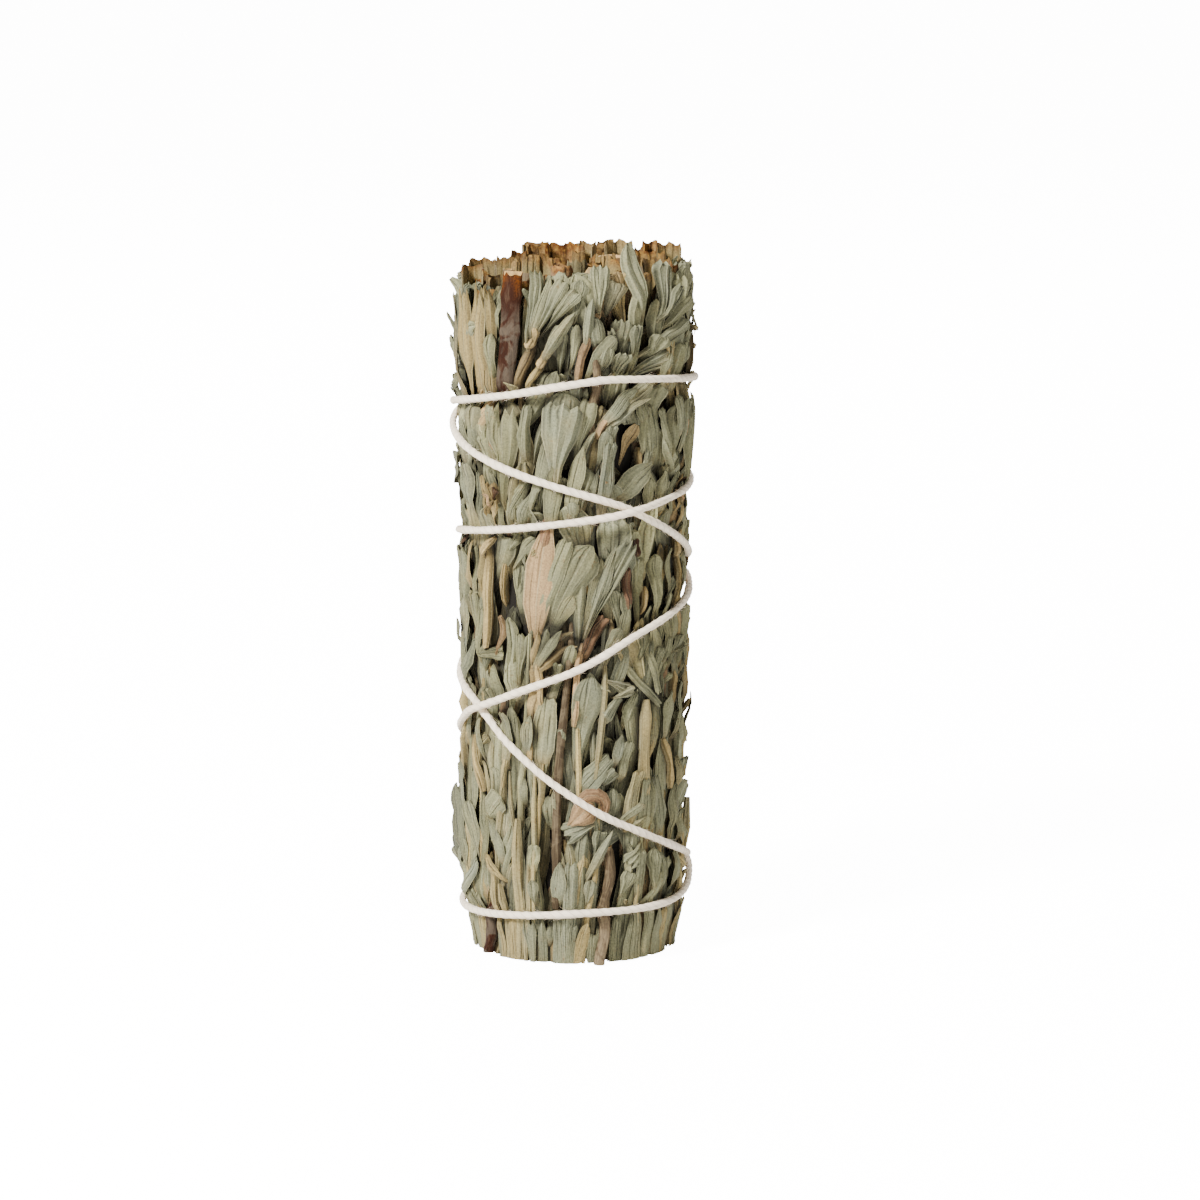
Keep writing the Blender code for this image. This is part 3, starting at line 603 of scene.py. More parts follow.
PLAIN_LEAF = (1, 0, 0)
TOP_LEAVES = (
    (456, 378, 455, 293, 3, broken, 0.8, 0.1), (481, 358, 491, 289, 2.2, lance, 1, 0, 0.1),
    (475, 392, 489, 352, 2, folded, 0.95), (467, 398, 476, 345, 1.6, lance, 1, 0.1),
    (483, 396, 494, 338, 1.8, broken, 0.9), (565, 380, 569, 325, 2.4, spoon, 0.85),
    (556, 386, 560, 330, 2.2, spoon, 0.9), (612, 330, 622, 283, 3.6, broken, 0.85, 0.18, 0.3),
    (600, 372, 596, 318, 2.2, spoon, 0.8), (568, 380, 578, 325, 1.5, bent_spoon, 1.25),
    (572, 332, 582, 281, 2.7, spoon, 1, 0, 0.05), (585, 352, 593, 298, 1.5, folded, 1.05),
    (600, 322, 603, 266, 2.9, lobed, 1.1, 0.05), (527, 352, 521, 289, 1.5, spoon, 1, 0, -0.1),
    (529, 346, 533, 270, 2.2, lobed, 1.05), (531, 340, 549, 278, 1.7, lance, 1.1, 0, 0.1),
    (533, 340, 564, 281, 2.4, broken, 1.05, 0, 0.1), (535, 342, 578, 292, 2, broken, 1, 0, 0.1),
    (536, 352, 561, 327, 1.5, bent_spoon, 1.3), (539, 366, 576, 312, 1.8, folded, 1.05, 0.1, 0.15),
    (655, 342, 680, 262, 3.1, lobed), (656, 332, 683, 285, 2, lobed, 0.85),
    (662, 336, 693, 297, 3, broken, 0.95, 0, 0.1), (654, 338, 637, 243, 3.4, spoon, 1.1, 0, 0.12),
    (636, 366, 690, 322, 2.6, spoon, 1.1, 0.05, 0.35), (622, 372, 626, 320, 2.7, lobed, 0.8),
    (612, 366, 609, 330, 2.2, torn, 0.8, 0, -0.3), (637, 366, 642, 325, 2.5, lobed, 0.8),
    (652, 372, 664, 336, 2.6, broken, 0.95, 0, 0.2), (584, 390, 618, 338, 2.8, bent_spoon, 1.05, 0, 0.8),
    (602, 388, 611, 348, 2.2, spoon), (617, 388, 626, 353, 2.6, lobed),
    (622, 390, 674, 356, 3, lobed, 1, 0.1, 0.2), (560, 402, 560, 375, 2, spoon, 1.1),
    (545, 400, 556, 372, 2, lance, 0.9, 0, 0.2), (688, 392, 690, 340, 1.8, lance, 0.9),
    (678, 398, 684, 342, 2.2, strap, 0.95), (666, 396, 672, 345, 1.8, folded, 0.95),
    (505, 405, 508, 384, 2.6, broken, 1.05, 0.2),
)
TORN_LEAVES = (
    (456, 406, 455, 292, 2.6, torn_sheet, 0.72, 0.24), (482, 404, 484, 288, 2.6, torn_sheet, 0.76, 0.3),
    (464, 406, 464, 287, 3.2, torn_sheet, 0.8, 0.36), (474, 406, 475, 283, 3.6, torn_sheet, 0.8, 0.38),
    (484, 396, 488, 334, 2.4, spoon, 0.92),
)
UPPER_LEAVES = (
    (484, 470, 489, 405, 2.4, strap), (468, 470, 470, 405, 2.6, broken, 0.95, 0.1),
    (490, 455, 486, 425, 1.4, folded, 1, 0.62), (523, 478, 548, 408, 1.8, folded, 0.9, 0, 0.1),
    (518, 470, 523, 405, 1.8, strap, 0.95), (570, 486, 592, 400, 2.8, broken, 1.1, 0.05, 0.1),
    (548, 498, 552, 430, 1.6, folded, 0.9), (580, 478, 596, 432, 1.6, folded, 1, 0.05, 0.3),
    (660, 480, 655, 405, 2.6, strap, 0.9), (673, 470, 666, 408, 1.8, strap, 0.95),
    (684, 445, 679, 395, 2.2, strap), (692, 462, 692, 400, 1.8, lance, 0.95),
    (640, 395, 636, 427, 3.6, broken, 1, 0.12), (652, 430, 645, 396, 2, strap, 0.9),
    (598, 434, 662, 380, 2.6, folded, 1.1, 0.1, 0.2), (600, 428, 640, 388, 2, lance, 1, 0.05, 0.2),
    (601, 436, 650, 398, 1.4, folded, 0.95, 0.1, 0.2), (606, 486, 614, 425, 2.2, strap, 0.95, 0.05),
    (596, 478, 608, 430, 1.8, bent_spoon, 1.05), (628, 474, 641, 424, 2, bent_spoon, 0.85, 0.45, 0.2),
    (496, 534, 524, 478, 2.2, folded, 1, 0, 0.1), (512, 540, 531, 488, 1.6, lance),
    (550, 530, 564, 479, 2.7, bent_spoon, 0.95), (578, 520, 587, 468, 2.9, spoon, 0.95),
    (573, 530, 573, 502, 1.7, spoon, 1.05), (592, 515, 601, 470, 1.6, folded, 0.95),
    (536, 520, 538, 486, 2, torn, 0.95), (664, 520, 668, 470, 2, strap, 0.9),
    (652, 522, 656, 478, 2.2, spoon, 0.95), (676, 530, 679, 470, 1.8, folded, 0.9),
    (688, 530, 688, 478, 1.8, strap, 0.95), (470, 520, 466, 462, 2.4, strap, 0.9, 0.1),
    (482, 528, 478, 475, 1.6, folded, 1, 0.4), (491, 526, 488, 482, 1.8, torn, 0.95, 0.42),
    (486, 535, 494, 500, 1, lance, 1.1, 0.4, 0.3), (481, 522, 492, 502, 0.9, folded, 1, 0.42, 1.4),
    (488, 512, 481, 494, 0.8, folded, 0.8, 0.6, -1.5), (490, 503, 495, 488, 0.9, torn, 0.7, 0.75, 0.8),
    (600, 495, 608, 481, 0.9, torn, 0.9, 0.25, 1), (606, 488, 599, 476, 0.8, folded, 0.8, 0.5, -1.2),
    (520, 536, 549, 438, 2.2, bent_spoon, 0.95, 0, 0.1), (548, 540, 556, 462, 2.6, lance, 0.92, 0.02),
    (566, 532, 584, 446, 2.3, lance, 0.98, 0, 0.1), (604, 520, 612, 442, 2.4, strap, 0.86),
    (498, 528, 504, 404, 4.8, torn, 0.88, 0.03, 0.05), (553, 500, 564, 403, 5.8, lobed, 0.96, 0.09, 0.1),
    (612, 504, 654, 462, 3.8, lance, 0.8, 0.03, -0.2),
)
MIDDLE_LEAVES = (
    (470, 672, 472, 590, 2, strap, 0.88, 0.1), (480, 672, 478, 608, 2.2, spoon, 0.88),
    (488, 668, 498, 616, 1.6, spoon, 0.79, 0.55), (466, 598, 468, 540, 2.2, lance, 0.88, 0.35),
    (477, 600, 474, 545, 1.6, folded, 0.93, 0.3), (513, 642, 512, 565, 2.8, bent_spoon, 0.93),
    (502, 576, 534, 540, 2.8, spoon, 0.88, 0, 0.2), (500, 560, 512, 536, 1.8, broken, 0.93, 0, 0.2),
    (524, 600, 532, 555, 2.6, torn, 0.93), (528, 650, 520, 600, 1.6, bent_spoon, 0.84, 0.1, -0.4),
    (505, 700, 507, 618, 2.5, spoon, 0.93), (511, 696, 519, 634, 2.7, lobed, 0.93, 0, 0.1),
    (578, 645, 603, 558, 2.1, bent_spoon, 0.88, 0.1), (645, 640, 645, 558, 2.8, broken, 0.93, 0.05),
    (662, 628, 660, 555, 2.6, spoon, 0.88), (674, 600, 671, 548, 2, strap, 0.88),
    (684, 620, 683, 560, 1.8, lance, 0.88), (622, 642, 614, 590, 1.8, bent_spoon, 0.84, 0, -0.2),
    (632, 625, 624, 592, 1.6, lance, 0.84), (580, 665, 608, 618, 2.2, strap, 0.6, 0.74),
    (633, 618, 629, 568, 1.6, strap, 0.56, 0.76), (643, 562, 641, 540, 1.7, strap, 0.56, 0.82),
    (541, 642, 592, 546, 5.2, spoon, 0.78, 0.02, 0.1), (534, 636, 568, 540, 2.8, strap, 0.93, 0, 0.1),
    (538, 655, 574, 596, 2.2, bent_spoon, 0.93, 0.1, 0.2), (531, 655, 549, 516, 4.2, lance, 0.94, 0.55, 0.1),
    (541, 556, 549, 512, 2, folded, 0.82, 0.72, 0.1), (527, 560, 538, 552, 1.6, torn, 0.93, 0.3),
    (533, 670, 574, 632, 1.5, folded, 0.93, 0.3, 0.3), (534, 676, 578, 646, 1.4, folded, 0.93, 0.42, 0.4),
    (534, 672, 548, 628, 1.4, folded, 0.98, 0.1, 0.1), (531, 668, 536, 632, 1.1, folded, 0.98, 0.42),
    (535, 672, 562, 630, 1.3, lance, 0.93, 0.1, 0.2), (582, 650, 632, 540, 3, lobed, 0.74, 0.02, 0.1),
    (583, 648, 618, 545, 1.8, folded, 0.84, 0.02, 0.1), (557, 700, 573, 646, 2.2, spoon, 0.93),
    (548, 706, 558, 664, 2, strap, 0.88), (617, 652, 664, 706, 1.4, strap, 0.93, 0.05, -0.3),
    (645, 637, 660, 694, 1.6, strap, 0.93, 0, 0.2), (606, 672, 622, 628, 2.4, spoon, 0.74, 0, 0.2),
    (640, 668, 650, 632, 2, broken, 0.84, 0, 0.2), (664, 668, 672, 636, 2.2, lobed, 0.84),
    (676, 672, 682, 634, 2, spoon, 0.84), (674, 655, 688, 640, 2, broken, 1.02),
    (461, 695, 466, 640, 2, strap, 0.84),
)
LOWER_LEAVES = (
    (571, 790, 593, 676, 4.2, spoon, 0.95, 0.05), (601, 728, 626, 698, 2.2, strap, 1, 0, 0.3),
    (602, 680, 634, 694, 2.2, torn, 1.2, 0.1, 0.2), (612, 700, 636, 690, 1.6, broken, 1.05, 0.1),
    (628, 735, 640, 690, 2.2, folded, 0.95, 0.05), (657, 760, 661, 690, 2, strap, 0.9, 0.1),
    (668, 745, 672, 690, 1.8, lance, 0.95), (682, 740, 683, 680, 1.8, strap, 0.9),
    (547, 790, 561, 729, 2.2, spoon), (537, 775, 548, 698, 3.6, strap, 1.1, 0.1),
    (522, 764, 530, 715, 2, lance, 1, 0.1), (505, 770, 500, 712, 2, strap, 0.95, 0.1),
    (480, 770, 476, 712, 2, spoon, 0.9), (492, 762, 486, 715, 1.5, folded, 0.95),
    (572, 800, 613, 758, 3.2, strap, 1, 0, 0.2), (600, 790, 618, 772, 2.6, broken, 1.05, 0.1),
    (624, 785, 632, 742, 2, strap), (616, 770, 624, 735, 1.8, lance, 1.05, 0.1),
    (490, 795, 491, 768, 3, spoon), (480, 826, 501, 796, 4, spoon, 1.05, 0.02, 0.2),
    (487, 800, 482, 760, 1.3, folded, 0.95, 0.2), (520, 812, 522, 778, 1.8, folded, 0.95),
    (546, 838, 548, 798, 2.2, strap), (556, 822, 553, 790, 1.6, folded, 1, 0.1),
    (612, 850, 616, 790, 2.6, spoon, 0.9), (630, 834, 640, 770, 2.4, strap, 1, 0.2),
    (644, 838, 646, 778, 2, strap), (656, 842, 655, 768, 1.8, folded, 0.95, 0.1),
    (668, 850, 664, 775, 2.2, strap), (680, 850, 678, 782, 1.8, folded, 0.9, 0.1),
    (604, 824, 562, 838, 3.4, torn, 1, 0, -0.5), (594, 870, 604, 832, 2.6, broken, 0.95),
    (648, 800, 622, 826, 1.3, strap, 1.05, 0.05, -0.3), (650, 812, 636, 830, 1.4, broken, 1.15, 0.1),
    (578, 900, 614, 830, 1.6, folded, 1.05, 0.1), (648, 838, 628, 866, 2.5, torn, 1.05, 0.05),
    (574, 912, 556, 846, 1.6, bent_spoon, 1.05, 0.15, 0.5), (530, 875, 534, 845, 1.9, strap, 1.25),
    (555, 918, 560, 862, 2.3, lance, 0.95, 0.02), (534, 912, 532, 880, 1.6, spoon, 0.95, 0.05),
    (462, 902, 478, 860, 1.9, strap, 1.15, 0.05), (505, 886, 484, 854, 1.3, folded, 1.1, 0.3, 0.3),
    (500, 868, 496, 830, 2, lance, 0.95, 0, 0.2), (492, 852, 487, 815, 1.4, folded, 0.95, 0.1),
    (586, 912, 592, 880, 1.8, spoon, 0.95, 0.1), (622, 905, 632, 872, 2.2, broken, 1, 0, 0.2),
    (640, 905, 642, 850, 2, strap), (655, 900, 656, 848, 2.4, spoon),
    (668, 900, 668, 852, 2, strap, 1, 0.02), (680, 892, 680, 850, 1.7, strap, 0.95),
    (565, 831, 595, 806, 4.2, spoon, 0.8, 0.58, 0.3), (577, 812, 603, 819, 2.1, strap, 0.8, 0.68, 4),
)
FOOT_LEAVES = (
    (480, 955, 474, 905, 2.2, strap, 0.95, 0.3), (497, 962, 494, 912, 1.8, folded, 1, 0.3),
    (530, 962, 526, 920, 2.2, torn, 0.95, 0.1), (538, 968, 541, 918, 1.6, folded, 1, 0.1),
    (546, 950, 551, 918, 1.4, folded, 1, 0.1), (556, 966, 557, 918, 1.8, strap, 0.95),
    (566, 968, 574, 926, 2, strap, 0.95), (570, 962, 588, 924, 2, bent_spoon, 0.95, 0.35, 0.2),
    (592, 968, 596, 935, 2.6, broken, 1.1, 0.05), (600, 950, 606, 918, 1.6, lance, 1.15, 0.1),
    (618, 968, 620, 918, 1.8, strap, 0.9), (630, 968, 634, 912, 1.8, folded, 0.95, 0.1),
    (641, 966, 640, 905, 2, strap, 1, 0.1), (652, 964, 652, 900, 1.8, strap, 0.95),
    (662, 962, 664, 898, 2.2, lance, 0.95), (672, 958, 674, 892, 2, strap, 0.95, 0.1),
    (682, 950, 684, 890, 1.6, strap, 0.9, 0.1), (508, 964, 510, 915, 1.8, strap, 1, 0.3),
)
BULGE_LEAVES = (
    (458, 874, 455, 796, 4, spoon, 0.62), (466, 878, 460, 788, 3.6, spoon, 0.72, 0, -0.1),
    (474, 872, 466, 800, 3, bent_spoon, 0.9), (462, 862, 457, 782, 3.2, lance, 0.66, 0.02),
)
# Bare leaf stems in sight: picture x and y of both ends, width in millimetres, tone, share of dead
# colour and bend
BARE_STEMS = (
    (508, 394, 530, 346, 1.5, 0.5, 0.45, 0.1), (520, 392, 541, 364, 1.1, 0.95, 0.38, 0.2),
    (528, 348, 534, 328, 1.5, 1.15, 0.42, 0.1), (538, 368, 546, 352, 1.3, 1.15, 0.42, 0.2),
    (587, 342, 603, 312, 1.3, 0.95, 0.52, 0.1), (598, 440, 612, 414, 1.2, 0.95, 0.55, 0.1),
    (486, 648, 484, 540, 1.2, 1.05, 0.4, 0), (480, 560, 490, 538, 1.1, 1, 0.42, 0.3),
    (530, 728, 534, 662, 2.1, 1.1, 0.43, 0), (540, 716, 537, 664, 1.1, 1.1, 0.43, -0.1),
    (573, 728, 583, 645, 1.2, 1, 0.55, 0.1), (526, 765, 528, 722, 1.4, 1.05, 0.4, 0),
    (646, 806, 648, 700, 2, 1.05, 0.28, 0), (656, 760, 660, 712, 1.1, 1, 0.28, 0),
    (513, 964, 520, 785, 1.5, 1, 0.24, 0.05), (522, 960, 526, 830, 0.9, 1, 0.22, 0),
    (503, 950, 500, 850, 1.1, 1, 0.26, 0), (495, 925, 489, 862, 1, 1.05, 0.28, -0.1),
    (480, 792, 470, 735, 1.1, 1, 0.4, 0), (500, 790, 507, 745, 0.9, 0.95, 0.3, -0.2),
    (636, 962, 641, 850, 0.9, 1.05, 0.26, 0), (577, 384, 589, 338, 1.4, 0.6, 0.58, 0.1),
)
SEEN_TONE = 0.94
SEEN_TOP, AT_THE_CUT, BELOW_THE_CUT = 102.4 * MM, 2 * MM, 5 * MM


def from_root(z):
    """A leaf that starts at the lower cut is laid from below it, and trimmed there later."""
    return z if z > AT_THE_CUT else z - BELOW_THE_CUT


def lay_seen(places, seed, turned=0.0):
    """Lays leaves on top at their places in the picture, or the same turned round the bundle."""
    draw = random.Random(seed)
    for x0, y0, x1, y1, width, shape, *look in places:
        tone, dead, bend = (*look, *PLAIN_LEAF[len(look):])
        (a0, z0), (a1, z1) = on_bundle(x0, y0), on_bundle(x1, y1)
        z0, z1 = from_root(z0), min(top_limit(a1 + turned) if turned else SEEN_TOP, z1)
        run, rise = (a1 - a0) * BUNDLE_RADIUS, z1 - z0
        stretch = bend / 2 / math.sin(bend / 2) if bend else 1.0
        lay(shape, a0 + turned, z0, math.atan2(run, rise) - bend / 2, math.hypot(run, rise) * stretch,
            width * MM, (SEEN_TONE * tone, dead), draw, SEEN, bend, cup=draw.uniform(-0.2, 0.12),
            root_dip=0.8, twist=draw.uniform(-0.2, 0.2), wave=draw.uniform(0.02, 0.16) * MM,
            tip_lift=max(0.0, draw.gauss(0.1, 0.25)))


def lay_bare_stems(seed, turned=0.0):
    """Lays the bare leaf stems in sight, or the same turned round the bundle."""
    draw = random.Random(seed)
    for x0, y0, x1, y1, width, tone, dead, bend in BARE_STEMS:
        (a0, z0), (a1, z1) = on_bundle(x0, y0), on_bundle(x1, y1)
        run, rise = (a1 - a0) * BUNDLE_RADIUS, z1 - z0
        lay_rod(a0 + turned, from_root(z0), math.atan2(run, rise) - bend / 2, math.hypot(run, rise),
                width * MM, (tone, dead), draw, SEEN, bend, root_dip=0.1)


ROUND_THE_BACK = (math.radians(118), math.radians(-121))
for number, turned in enumerate(ROUND_THE_BACK):
    lay_bare_stems(60 + number, turned)
    for places in (LOWER_LEAVES, MIDDLE_LEAVES, UPPER_LEAVES, TOP_LEAVES, FOOT_LEAVES):
        lay_seen(places, 70 + number, turned)
lay_bare_stems(50)
for number, places in enumerate((BULGE_LEAVES, LOWER_LEAVES, MIDDLE_LEAVES, UPPER_LEAVES, TOP_LEAVES,
                                 FOOT_LEAVES, TORN_LEAVES)):
    lay_seen(places, 30 + number)

# Leaf pieces
#
# The laid leaves of one sprig are joined in one piece, which stands for that sprig's solid.
# The whole outside is then pressed to the bundle's own outline, and in along the string.

REACHED_CELLS, LOCAL_CELLS = (6, 10), (2, 3)
STRING_BITE = 0.85 * MM
STRING_BITE_REACH = 1.4 * MM
LEAVES_OVER_OUTLINE = 0.38 * MM
LEAST_STACK = 0.9 * MM
OVER_OUTLINE_SHARE, MOST_SHARE = 0.30, 1.045
SHADE_FROM, SHADE_DEPTH = 0.22 * MM, 0.9 * MM
SHADE_HEIGHTS, SHADE_SHARES = (24 * MM, 38 * MM, 93 * MM, 96 * MM), (0.74, 1.0, 1.0, 0.25)
FOOT_ROUND = 1.5 * MM
FOOT_ROUND_FROM, FOOT_ROUND_OVER = 0.5 * MM, 8.5 * MM
SHOULDER_ROUND, SHOULDER_FROM, SHOULDER_OVER = 1.0 * MM, 93 * MM, 5 * MM
CREASE_ANGLE = math.radians(30)


def blurred(field, reach):
    """A map smoothed over reach cells each way, round the bundle and up it."""
    weights = np.exp(-((np.arange(-2 * reach, 2 * reach + 1) / reach) ** 2))
    weights /= weights.sum()
    wide = np.concatenate((field[-2 * reach:], field, field[:2 * reach]))
    wide = np.apply_along_axis(lambda line: np.convolve(line, weights, "valid"), 0, wide)
    tall = np.pad(wide, ((0, 0), (2 * reach, 2 * reach)), "edge")
    return np.apply_along_axis(lambda line: np.convolve(line, weights, "valid"), 1, tall)


def highest_near(field, reach):
    """The highest value of a map within reach cells of each place."""
    for axis in (0, 1):
        field = np.max([np.roll(field, k, axis) for k in range(-reach, reach + 1)], axis=0)
    return field


reached, local_height = (blurred(highest_near(height_map, near), reach)
                         for near, reach in (REACHED_CELLS, LOCAL_CELLS))
string_near = from_string(map_angles[:, None] + 0 * map_heights[None, :], map_heights[None, :])


def pressed(angle, r, z):
    """Radius after the bundle is pressed: its outside meets surface_radius and the string bites in."""
    place = map_place(angle, z)
    rise = np.clip((z - FOOT_ROUND_FROM) / FOOT_ROUND_OVER, 0, 1)
    foot = FOOT_ROUND * (1 - rise * rise * (3 - 2 * rise))
    shoulder = SHOULDER_ROUND * np.clip((z - SHOULDER_FROM) / SHOULDER_OVER, 0, 1) ** 2
    outside = surface_radius(z) + LEAVES_OVER_OUTLINE + bulge(angle, z) - foot - shoulder
    share = (r - CORE_RADIUS) / np.maximum(reached[place] - CORE_RADIUS, LEAST_STACK)
    share = np.where(share > 1, np.minimum(1 + (share - 1) * OVER_OUTLINE_SHARE, MOST_SHARE), share)
    bite = STRING_BITE * np.exp(-((string_near[place] / STRING_BITE_REACH) ** 2))
    scaled = CORE_RADIUS + share * (outside - CORE_RADIUS)
    return scaled - bite * np.clip(share, 0, 1)


def in_shade(angle, r, z):
    """How deep a place lies under what is round it, from 0 in the open to 1, and never at the cut."""
    depth = np.clip((local_height[map_place(angle, z)] - r - SHADE_FROM) / SHADE_DEPTH, 0, 1)
    return depth * np.interp(z, SHADE_HEIGHTS, SHADE_SHARES)


def join(name, copies, finish, crease=CREASE_ANGLE):
    """One mesh object from (points, shape, tints) copies."""
    points = np.concatenate([c[0] for c in copies])
    starts = np.cumsum([0] + [len(c[0]) for c in copies[:-1]])
    corners = np.concatenate([c[1]["corners"] + s for c, s in zip(copies, starts)])
    sizes = np.concatenate([c[1]["sizes"] for c in copies])
    mesh = bpy.data.meshes.new(name)
    mesh.vertices.add(len(points))
    mesh.vertices.foreach_set("co", points.ravel())
    mesh.loops.add(len(corners))
    mesh.loops.foreach_set("vertex_index", corners)
    mesh.polygons.add(len(sizes))
    mesh.polygons.foreach_set("loop_start", np.concatenate(([0], np.cumsum(sizes)[:-1])))
    sheet = np.concatenate([c[1]["sheet"] for c in copies])
    mesh.uv_layers.new(name="leaf").data.foreach_set("uv", sheet.ravel())
    tint = mesh.attributes.new("tint", "FLOAT_COLOR", "POINT")
    tint.data.foreach_set("color", np.concatenate([c[2] for c in copies]).ravel())
    mesh.update(calc_edges=True)
    mesh.validate()
    mesh.shade_smooth()
    mesh.set_sharp_from_angle(angle=crease)
    mesh.materials.append(finish)
    piece = bpy.data.objects.new(name, mesh)
    bpy.context.scene.collection.objects.link(piece)
    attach(piece, "root")
    return piece


def standing(angle, r, z):
    """Points at these angles, radii and heights round the bundle's axis."""
    return np.stack((r * np.sin(angle), -r * np.cos(angle), z), 1)


# Dry leaf finish
#
# Dried sage is matt and felted: grey-green, with paler ribs, lengthwise folds and a tan root.
# Dead leaves turn tan, pink-brown and red-brown, and cut rims orange-brown.

# Painted shade: crease lines, a band just inside a rolled rim and places lying deep under other leaves
# (IN_SHADE) are darkened.
COLOUR, VALUE = "NodeSocketColor", "NodeSocketFloat"
SURFACE = (("Color", COLOUR), ("Roughness", VALUE), ("Height", VALUE))
TAN, PINK_BROWN = (0.33, 0.245, 0.095), (0.42, 0.255, 0.125)
RED_BROWN, DARK_BROWN = (0.14, 0.062, 0.028), (0.030, 0.017, 0.008)
OLIVE, LEAF_ROOT, LEAF_RIB = (0.245, 0.220, 0.090), (0.33, 0.235, 0.10), (0.42, 0.39, 0.23)
BURNT_RIM, CRUMBLED_RIM, IN_SHADE = (0.15, 0.045, 0.003), (0.34, 0.17, 0.028), (0.008, 0.006, 0.003)
FRECKLE = (0.16, 0.09, 0.03)
CREASES, CREASE_FINENESS = (0.26, 0.44, 0.72), 24.0
LEAF_GREENS = ((0.188, 0.192, 0.118), (0.179, 0.187, 0.123), (0.200, 0.200, 0.116))
LEAF_RELIEF, RELIEF_STRENGTH = 0.16 * MM, 0.9
LEAF_LOOK = {"Specular IOR Level": 0.18, "Sheen Weight": 0.04, "Sheen Roughness": 0.6}


def open_group(name, *colours):
    """A new node group with colours to choose, which gives a colour, roughness and height."""
    global nodes, links, group_in, group_out
    group = bpy.data.node_groups.new(name, "ShaderNodeTree")
    for label in colours:
        group.interface.new_socket(label, in_out="INPUT", socket_type=COLOUR)
    for label, kind in SURFACE:
        group.interface.new_socket(label, in_out="OUTPUT", socket_type=kind)
    nodes, links = group.nodes, group.links
    group_in, group_out = nodes.new("NodeGroupInput"), nodes.new("NodeGroupOutput")
    return group


def close_group(*surface):
    """Links the group's colour, roughness and height to its outputs."""
    for (label, _), value in zip(SURFACE, surface):
        links.new(value, group_out.inputs[label])


def link_or_set(socket, value):
    """Links another node's output to an input, or sets the input."""
    if isinstance(value, bpy.types.NodeSocket):
        links.new(value, socket)
    else:
        socket.default_value = value


def add(kind, **values):
    """A node in the tree that is being built, with its settings and its inputs by name."""
    node = nodes.new(kind)
    for key, value in values.items():
        if hasattr(node, key):
            setattr(node, key, value)
        else:
            link_or_set(node.inputs[int(key[1:]) if key[1:].isdigit() else key], value)
    return node


def maths(operation, a, b=0.0, clamp=False):
    """One step of arithmetic on one or two values, held between 0 and 1 where clamp says so."""
    return add("ShaderNodeMath", operation=operation, use_clamp=clamp, i0=a, i1=b).outputs[0]


def times(a, b, clamp=False):
    """One value multiplied by another."""
    return maths("MULTIPLY", a, b, clamp)


def plus(a, b):
    """Two values added."""
    return maths("ADD", a, b)


def minus(a, b, clamp=False):
    """One value less another."""
    return maths("SUBTRACT", a, b, clamp)


def mixed(share, a, b, blend="MIX"):
    """Two colours mixed by a share of the second one."""
    node = nodes.new("ShaderNodeMix")
    node.data_type, node.blend_type = "RGBA", blend
    link_or_set(node.inputs[0], share)
    for key, colour in ((6, a), (7, b)):
        link_or_set(node.inputs[key], (*colour, 1) if isinstance(colour, tuple) else colour)
    return node.outputs[2]


def ramp(value, stops):
    """The colour that a value picks from a row of (place, colour) stops."""
    node = add("ShaderNodeValToRGB", Fac=value)
    while len(node.color_ramp.elements) < len(stops):
        node.color_ramp.elements.new(0.5)
    for element, (place, colour) in zip(node.color_ramp.elements, stops):
        element.position = place
        element.color = (*colour, 1)
    return node.outputs[0]


def noise(vector, scale, detail=3.0, distortion=0.0):
    """Soft irregular spots."""
    return add("ShaderNodeTexNoise", Vector=vector, Scale=scale, Detail=detail,
               Distortion=distortion).outputs[0]


def joined(x, y, z=0.0):
    """Three values as the x, y and z of one place."""
    return add("ShaderNodeCombineXYZ", X=x, Y=y, Z=z).outputs[0]


def stretched(value, low, high):
    """A value read between two limits, as 0 to 1."""
    node = add("ShaderNodeMapRange", Value=value)
    set_inputs(node, {"From Min": low, "From Max": high})
    return node.outputs[0]


def darkened(colour, shade):
    """A colour multiplied by a value."""
    grey = add("ShaderNodeCombineColor", Red=shade, Green=shade, Blue=shade).outputs[0]
    return mixed(1.0, colour, grey, "MULTIPLY")


def tint_parts():
    """The tone, share of dead colour, burn and shade that each piece's points carry."""
    tint = add("ShaderNodeAttribute", attribute_name="tint")
    parts = add("ShaderNodeSeparateColor", Color=tint.outputs["Color"]).outputs
    return *parts, tint.outputs["Alpha"]


def sheet_parts():
    """Places across and along a sheet or round and along a stem, and places on the bundle."""
    sheet = add("ShaderNodeUVMap", uv_map="leaf").outputs[0]
    across, along, _ = add("ShaderNodeSeparateXYZ", Vector=sheet).outputs
    return across, along, add("ShaderNodeTexCoord").outputs["Object"]


dry_leaf = open_group("dry_leaf", "Green")
tone, dead, burnt, shaded = tint_parts()
across, along, where = sheet_parts()
blotch = noise(where, 230.0, 4.0)
speck = noise(where, 1700.0, 2.0)
felt = noise(where, 4200.0, 3.0)
fibre = noise(joined(times(across, 8.0), times(along, 1.4), times(tone, 37.0)), 1.0, 5.0, 0.5)
each_leaf = add("ShaderNodeTexWhiteNoise", noise_dimensions="1D", W=tone).outputs["Value"]
from_rib = maths("ABSOLUTE", minus(across, 0.5))
rib = minus(1.0, times(from_rib, 30.0), clamp=True)
